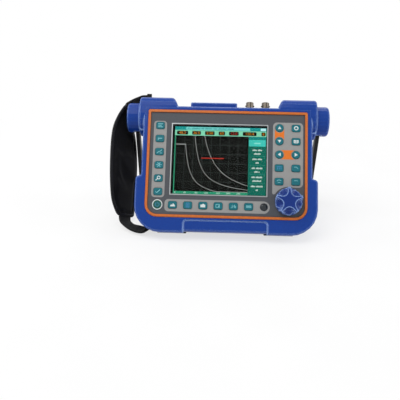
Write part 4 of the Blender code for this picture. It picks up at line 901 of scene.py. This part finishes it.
def web_rows(pin, fronts, rears):
    """Doubled web from inside the pad to its pin, round the pin and back: (front, rear) edges, row by row."""
    fronts, rears = (smooth([end, *edge], WEB_ROWS) for end, edge in zip(pin, (fronts, rears)))
    axis = (pin[1] - pin[0]).normalized()
    runs = []
    for index, (front, rear) in enumerate(zip(fronts, rears)):
        after, before = min(index + 1, WEB_ROWS), max(index - 1, 0)
        ahead = (fronts[after] + rears[after] - fronts[before] - rears[before]) / 2
        far = ((front + rear) / 2 - (pin[0] + pin[1]) / 2).length
        runs.append((front, rear, (rear - front).cross(ahead).normalized(), far))
    ahead = (fronts[1] + rears[1]) / 2 - (fronts[0] + rears[0]) / 2
    ahead = (ahead - axis * ahead.dot(axis)).normalized()
    out = axis.cross(ahead).normalized()
    first = next(index for index, run in enumerate(runs) if run[3] > LEAVES_PIN)
    outer, inner = [], []
    for turned, side in ((outer, 1), (inner, -1)):
        for front, rear, up, far in runs[first:]:
            lift = side * (WEB_LAYER + (WRAP_R - WEB_LAYER) * (1 - ease(far / WRAP_NEAR)))
            turned.append((front + up * lift, rear + up * lift))
    wrap = []
    for step in range(WRAP_STEPS + 1):
        turn = radians(180 * step / WRAP_STEPS)
        shift = (out * cos(turn) - ahead * sin(turn)) * WRAP_R
        wrap.append((pin[0] + shift, pin[1] + shift))
    return outer[::-1] + wrap + inner


def make_web(name, node, rows):
    """Flat webbing along its rows, 1.3 mm thick, with the rounded selvedges of a woven tape."""
    section = (
        (-1, 0.4), (-0.97, 1), (-0.5, 1), (0, 1), (0.5, 1), (0.97, 1), (1, 0.4),
        (1, -0.4), (0.97, -1), (0.5, -1), (0, -1), (-0.5, -1), (-0.97, -1), (-1, -0.4),
    )
    centres = [(front + rear) / 2 for front, rear in rows]
    rings = []
    for index, (front, rear) in enumerate(rows):
        across = (rear - front) / 2
        out = across.cross(heading(centres, index)).normalized() * WEB_HALF_THICK
        rings.append([centres[index] + across * a + out * b for a, b in section])
    along_mm, across_mm = running(centres), [0.0]
    for (a, b), (next_a, next_b) in zip(section, section[1:] + section[:1]):
        way = hypot((next_a - a) * WEB_HALF_WIDE, (next_b - b) * WEB_HALF_THICK)
        across_mm.append(across_mm[-1] + way)
    made = piece(name, band(rings, across_mm, along_mm), WEBBING, sharp_from=50)
    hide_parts(node)


make_pad()
make_web("top_web", "strap_top_web", web_rows(TOP_PIN, TOP_WEB_FRONT, TOP_WEB_REAR))
bottom_rows = web_rows(BOTTOM_PIN, BOTTOM_WEB_FRONT, BOTTOM_WEB_REAR)
make_web("bottom_web", "strap_bottom_web", bottom_rows)


# Picture on the display, in layers behind the window

LIT_BACK, LIT_STEP = 2.98, 0.03
LIT_THICK, GROUND_THICK = 0.6 * LIT_STEP, 0.01
GROUND, FIRST, SECOND, THIRD, FOURTH = (LIT_BACK - LIT_STEP * step for step in range(1, 6))
# Edges of the picture and of the plot in it.
LEFT, RIGHT, BOTTOM, TOP = -64.8, 48.2, -37.5, 47.0
PLOT_RIGHT, PLOT_BOTTOM, PLOT_TOP = 26.2, -34.3, 35.7
GRID_X = (-52.5, -41.5, -30.5, -19.5, -8.5, 2.5, 13.5)
GRID_Z = (-22, -10.5, 1, 12.5, 24)
GRID_WIDE = 0.3
# The plot's three curves: where each starts, its base, its height over that and its bend.
CURVES = ((-51.2, -43.5, 68.1, 0.158), (-39.8, -39.0, 74.5, 0.13), (-28.1, -46.5, 82.2, 0.056))
CURVE_END, CURVE_LOWEST, CURVE_STEPS, CURVE_WIDE = 26.0, -34.0, 30, 0.25
VALUES = (
    ("48.2", -62.5, -48.6), ("36.5", -43.6, -32.7), ("2.50", -27.7, -15.8), ("60", -10.8, -2.9),
    ("12.0", 2.0, 14.0), ("120.4", 19.0, 36.0), ("8", 42.0, 47.1),
)
RED_VALUE = 4
MENU_X = 37.2
MENU_TOP, MENU_PITCH, MENU_LINE = 17.9, 11.3, 4.6
# Letters in each word of the menu's fields, upper and lower line.
MENU_WORDS = (((4, 4), (6,)), ((4, 4), (3,)), ((3, 6), (3, 1)), ((3, 6), (8,)), ((4, 6), (2,)))
SCALE_X = (-62.5, -50.5, -36.5, -24.5, -10, 2.5, 15)
LETTER_GAP = 0.35


def number(name, text, x, z, height, material):
    """Plain figures as a flat shape, centred on a point."""
    curve = bpy.data.curves.new(name, "FONT")
    curve.body = text
    # The font's capitals are 0.7 of its size.
    curve.size = height / 0.7
    curve.align_x, curve.align_y = "CENTER", "CENTER"
    curve.resolution_u = 2
    curve.extrude = LIT_STEP * 0.2
    return piece(name, flat_mesh(curve, (x, SECOND, z)), material)


def echo_curve(start_x, base_z, height, bend):
    """Falling curve: a height over a base, divided by one plus the way along times its bend."""
    points = []
    for step in range(CURVE_STEPS + 1):
        x = start_x + (CURVE_END - start_x) * (step / CURVE_STEPS) ** 1.6
        points.append((x, max(base_z + height / (1 + bend * (x - start_x)), CURVE_LOWEST)))
    return points


def words(x, z, lengths, height, letter=0.95):
    """A line of text too small to read, as small blocks in groups."""
    blocks = []
    for length in lengths:
        for place in range(length):
            tall = height * (0.72 + 0.28 * ((place * 5 + length * 3) % 3) / 2)
            blocks.append(box(x, z, x + letter, z + tall))
            x += letter + LETTER_GAP
        x += letter
    return blocks


def centred_words(x, z, lengths, height, letter=0.95):
    """The same, centred on a place."""
    wide = sum(lengths) * (letter + LETTER_GAP) + (len(lengths) - 1) * letter - LETTER_GAP
    return words(x - wide / 2, z, lengths, height, letter)


def layer(name, outlines, level, ink, thick=LIT_THICK):
    """One of the picture's thin layers."""
    plate(f"screen_{name}", outlines, level, thick, ink)


def draw_fields():
    """The display's ground and its plain fields: header, values, scales, plot and menu."""
    ground = [box(-67.6, -38.0, 48.8, 49.0)]
    layer("ground", ground, LIT_BACK - GROUND_THICK, lit("dark", "#0c100f", 0.8), GROUND_THICK)
    scales = [box(LEFT, PLOT_BOTTOM, LEFT + 1.2, PLOT_TOP), box(LEFT, BOTTOM, PLOT_RIGHT, -34.4)]
    plot = box(LEFT + 1.3, PLOT_BOTTOM, PLOT_RIGHT, PLOT_TOP)
    for name, outlines, colour in (
        ("header", [box(LEFT, 42.8, RIGHT, TOP)], lit("teal", "#1f9a96")),
        ("values", [box(LEFT, 35.8, RIGHT, 42.7)], lit("mint", "#86dcb6")),
        ("scale", scales, lit("green", "#2f9c74")),
        ("plot", [plot], lit("black", "#101210")),
        ("menu", [box(26.3, BOTTOM, RIGHT, PLOT_TOP)], lit("deep_green", "#176f5e")),
    ):
        layer(name, outlines, GROUND, colour)


def draw_plot():
    """Grid, three falling curves and the gate."""
    upright = [line((x, -34), (x, 35.4), GRID_WIDE) for x in GRID_X]
    layer("grid_up", upright, FIRST, lit("grid", "#505754"))
    across = [line((-63.2, z), (24.8, z), GRID_WIDE) for z in GRID_Z]
    layer("grid_across", across, SECOND, lit("grid_across", "#505754"))
    trace = lit("trace", "#eef2ee")
    layer("curve_flat", [box(-63.3, 24.3, -51.0, 24.7)], THIRD, trace)
    for index, curve in enumerate(CURVES):
        outline = stroke(echo_curve(*curve), CURVE_WIDE)
        # Thin, and each a little in front of the last, because they cross.
        layer(f"curve_{index + 1}", [outline], THIRD - 0.01 * index, trace, LIT_THICK * 0.4)
    layer("gate", [box(-31.4, 7.0, -3.6, 7.9)], FOURTH, lit("red", "#d93a2b"))


def draw_values():
    """The values in their dark fields, and the header over them."""
    amber, red = lit("amber", "#d98a2c"), lit("value_red", "#c8392c")
    outlines = [box(start, 36.8, end, 41.6, 1.2, 3) for _, start, end in VALUES]
    layer("pills", outlines, FIRST, lit("pill", "#1a1710"))
    for index, (value, start, end) in enumerate(VALUES):
        colour = red if index == RED_VALUE else amber
        number(f"screen_value_{index + 1}", value, (start + end) / 2, 39.1, 3.4, colour)
    layer("header_field", [box(-51, 43.2, 28, 46.6, 0.6, 2)], FIRST, lit("pale_cyan", "#7fe0d8"))
    layer("header_box", [box(41, 43.4, 47.6, 46.5, 0.4, 2)], FIRST, lit("bright_cyan", "#c5fbff"))
    header = words(-49.5, 44.0, (2, 1, 8, 3, 7, 4, 8, 6), 1.9)
    layer("header_words", header, SECOND, lit("header_ink", "#2f8f92"))


def draw_menu():
    """The menu's head, its chosen field and its five plain ones."""
    layer("menu_head", [box(26.6, 32.7, 47.9, 35.6)], FIRST, lit("menu_head", "#1a8d88"))
    layer("choice", [box(26.8, 23.6, 47.4, 32.0, 0.5, 2)], FIRST, lit("highlight", "#45cfc0"))
    choice = centred_words(MENU_X, 26.6, (6,), 2.0)
    layer("choice_words", choice, SECOND, lit("choice_ink", "#9df2e2"))
    lines = []
    for index, (upper, lower) in enumerate(MENU_WORDS):
        z = MENU_TOP - MENU_PITCH * index
        lines += centred_words(MENU_X, z, upper, 2.1, 1.0)
        lines += centred_words(MENU_X, z - MENU_LINE, lower, 2.1, 1.0)
    layer("menu_words", lines, SECOND, lit("text", "#dff4ea"))
    seams = [box(26.8, 11.2 - MENU_PITCH * index, 47.6, 11.55 - MENU_PITCH * index) for index in range(4)]
    layer("menu_seams", seams, FIRST, lit("seam", "#3d9a86"))


def draw_scale():
    """Figures along the plot's foot."""
    ink = lit("scale", "#cdeadd")
    for index, x in enumerate(SCALE_X):
        number(f"screen_scale_{index}", str(index * 40), x, -36.0, 2.3, ink)


draw_fields()
draw_plot()
draw_values()
draw_menu()
draw_scale()


# Floor, light and camera

FLOOR_REACH = 6.0
# Share of plain white in what the camera sees of the floor: WHITE_NEAR up to the first distance from the
# object, and all of it from the second on.
WHITE_NEAR, FADE_STARTS, FADE_ENDS = 0.68, 0.12, 0.55
LIT_POINT = Vector((0, -0.05, 0.06))
SOFT_BOXES = (
    ("soft_box_above", (-0.5, -0.5, 1.5), 1.2, 13),
    ("soft_box_right", (1.2, -0.2, 0.7), 0.8, 6),
    ("soft_box_left", (-1.2, 0.1, 0.6), 0.7, 5),
    ("soft_box_behind", (0.2, 1.2, 1.2), 1.0, 7),
)


def seen_ray(tree):
    """1 for what the camera, mirrors and glass see."""
    paths = add(tree, "LightPath").outputs
    either = maths(tree, "MAXIMUM", paths["Is Camera Ray"], paths["Is Glossy Ray"])
    return maths(tree, "MAXIMUM", either, paths["Is Transmission Ray"])


def lay_floor():
    """White paper under and behind the object."""
    mesh = bpy.data.meshes.new("floor")
    corners = [(x * FLOOR_REACH, y * FLOOR_REACH, 0) for x, y in ((-1, -1), (1, -1), (1, 1), (-1, 1))]
    mesh.from_pydata(corners, [], [(0, 1, 2, 3)])
    paper, tree, shader = finish("paper_backdrop_white", 0.9, Specular_IOR_Level=0.1)
    tree.links.new(ramp(tree, grain(tree, 90, 1.0), "#f4f4f4", "#fbfbfb"), shader.inputs["Base Color"])
    # The camera and the mirrors see the paper as plain white, and keep part of the object's shadow near it.
    white = add(tree, "Emission", {"Color": linear("#ffffff"), "Strength": 1.0})
    place = add(tree, "TexCoord").outputs["Object"]
    far = add(tree, "VectorMath", {0: place}, operation="LENGTH").outputs["Value"]
    links = {"Value": far, "From Min": FADE_STARTS, "From Max": FADE_ENDS, "To Min": WHITE_NEAR}
    fade = add(tree, "MapRange", links).outputs["Result"]
    share = maths(tree, "MULTIPLY", fade, seen_ray(tree))
    mix = add(tree, "MixShader", {0: share, 1: shader.outputs[0], 2: white.outputs[0]})
    tree.links.new(mix.outputs[0], tree.nodes["Material Output"].inputs["Surface"])
    mesh.materials.append(paper)
    placed("floor", mesh)


def light():
    """A white room, dim for all that it lights, and four soft boxes."""
    world = bpy.data.worlds.new("studio")
    bpy.context.scene.world = world
    world.use_nodes = True
    tree = world.node_tree
    background = tree.nodes["Background"]
    background.inputs["Color"].default_value = linear("#ffffff")
    background.inputs["Strength"].default_value = 0.3
    room = add(tree, "Background", {"Color": linear("#ffffff"), "Strength": 1.0})
    mix = add(tree, "MixShader", {0: seen_ray(tree), 1: background.outputs[0], 2: room.outputs[0]})
    tree.links.new(mix.outputs[0], tree.nodes["World Output"].inputs["Surface"])
    for name, place, size, power in SOFT_BOXES:
        lamp = bpy.data.lights.new(name, "AREA")
        lamp.size = size
        lamp.energy = power
        holder = placed(name, lamp)
        holder.location = place
        holder.rotation_euler = (LIT_POINT - Vector(place)).to_track_quat("-Z", "Y").to_euler()


def camera():
    """At the photograph's angle: in front, a little left and above, looking down at the leaning face."""
    data = bpy.data.cameras.new("camera")
    data.lens = 54
    data.sensor_width = 36
    made = placed("camera", data)
    made.location = (-0.0071, -0.7761, 0.3424)
    made.rotation_euler = [radians(angle) for angle in (65.963, -0.605, 2.350)]
    bpy.context.scene.camera = made


lay_floor()
light()
camera()
bpy.context.scene.view_settings.view_transform = "Standard"
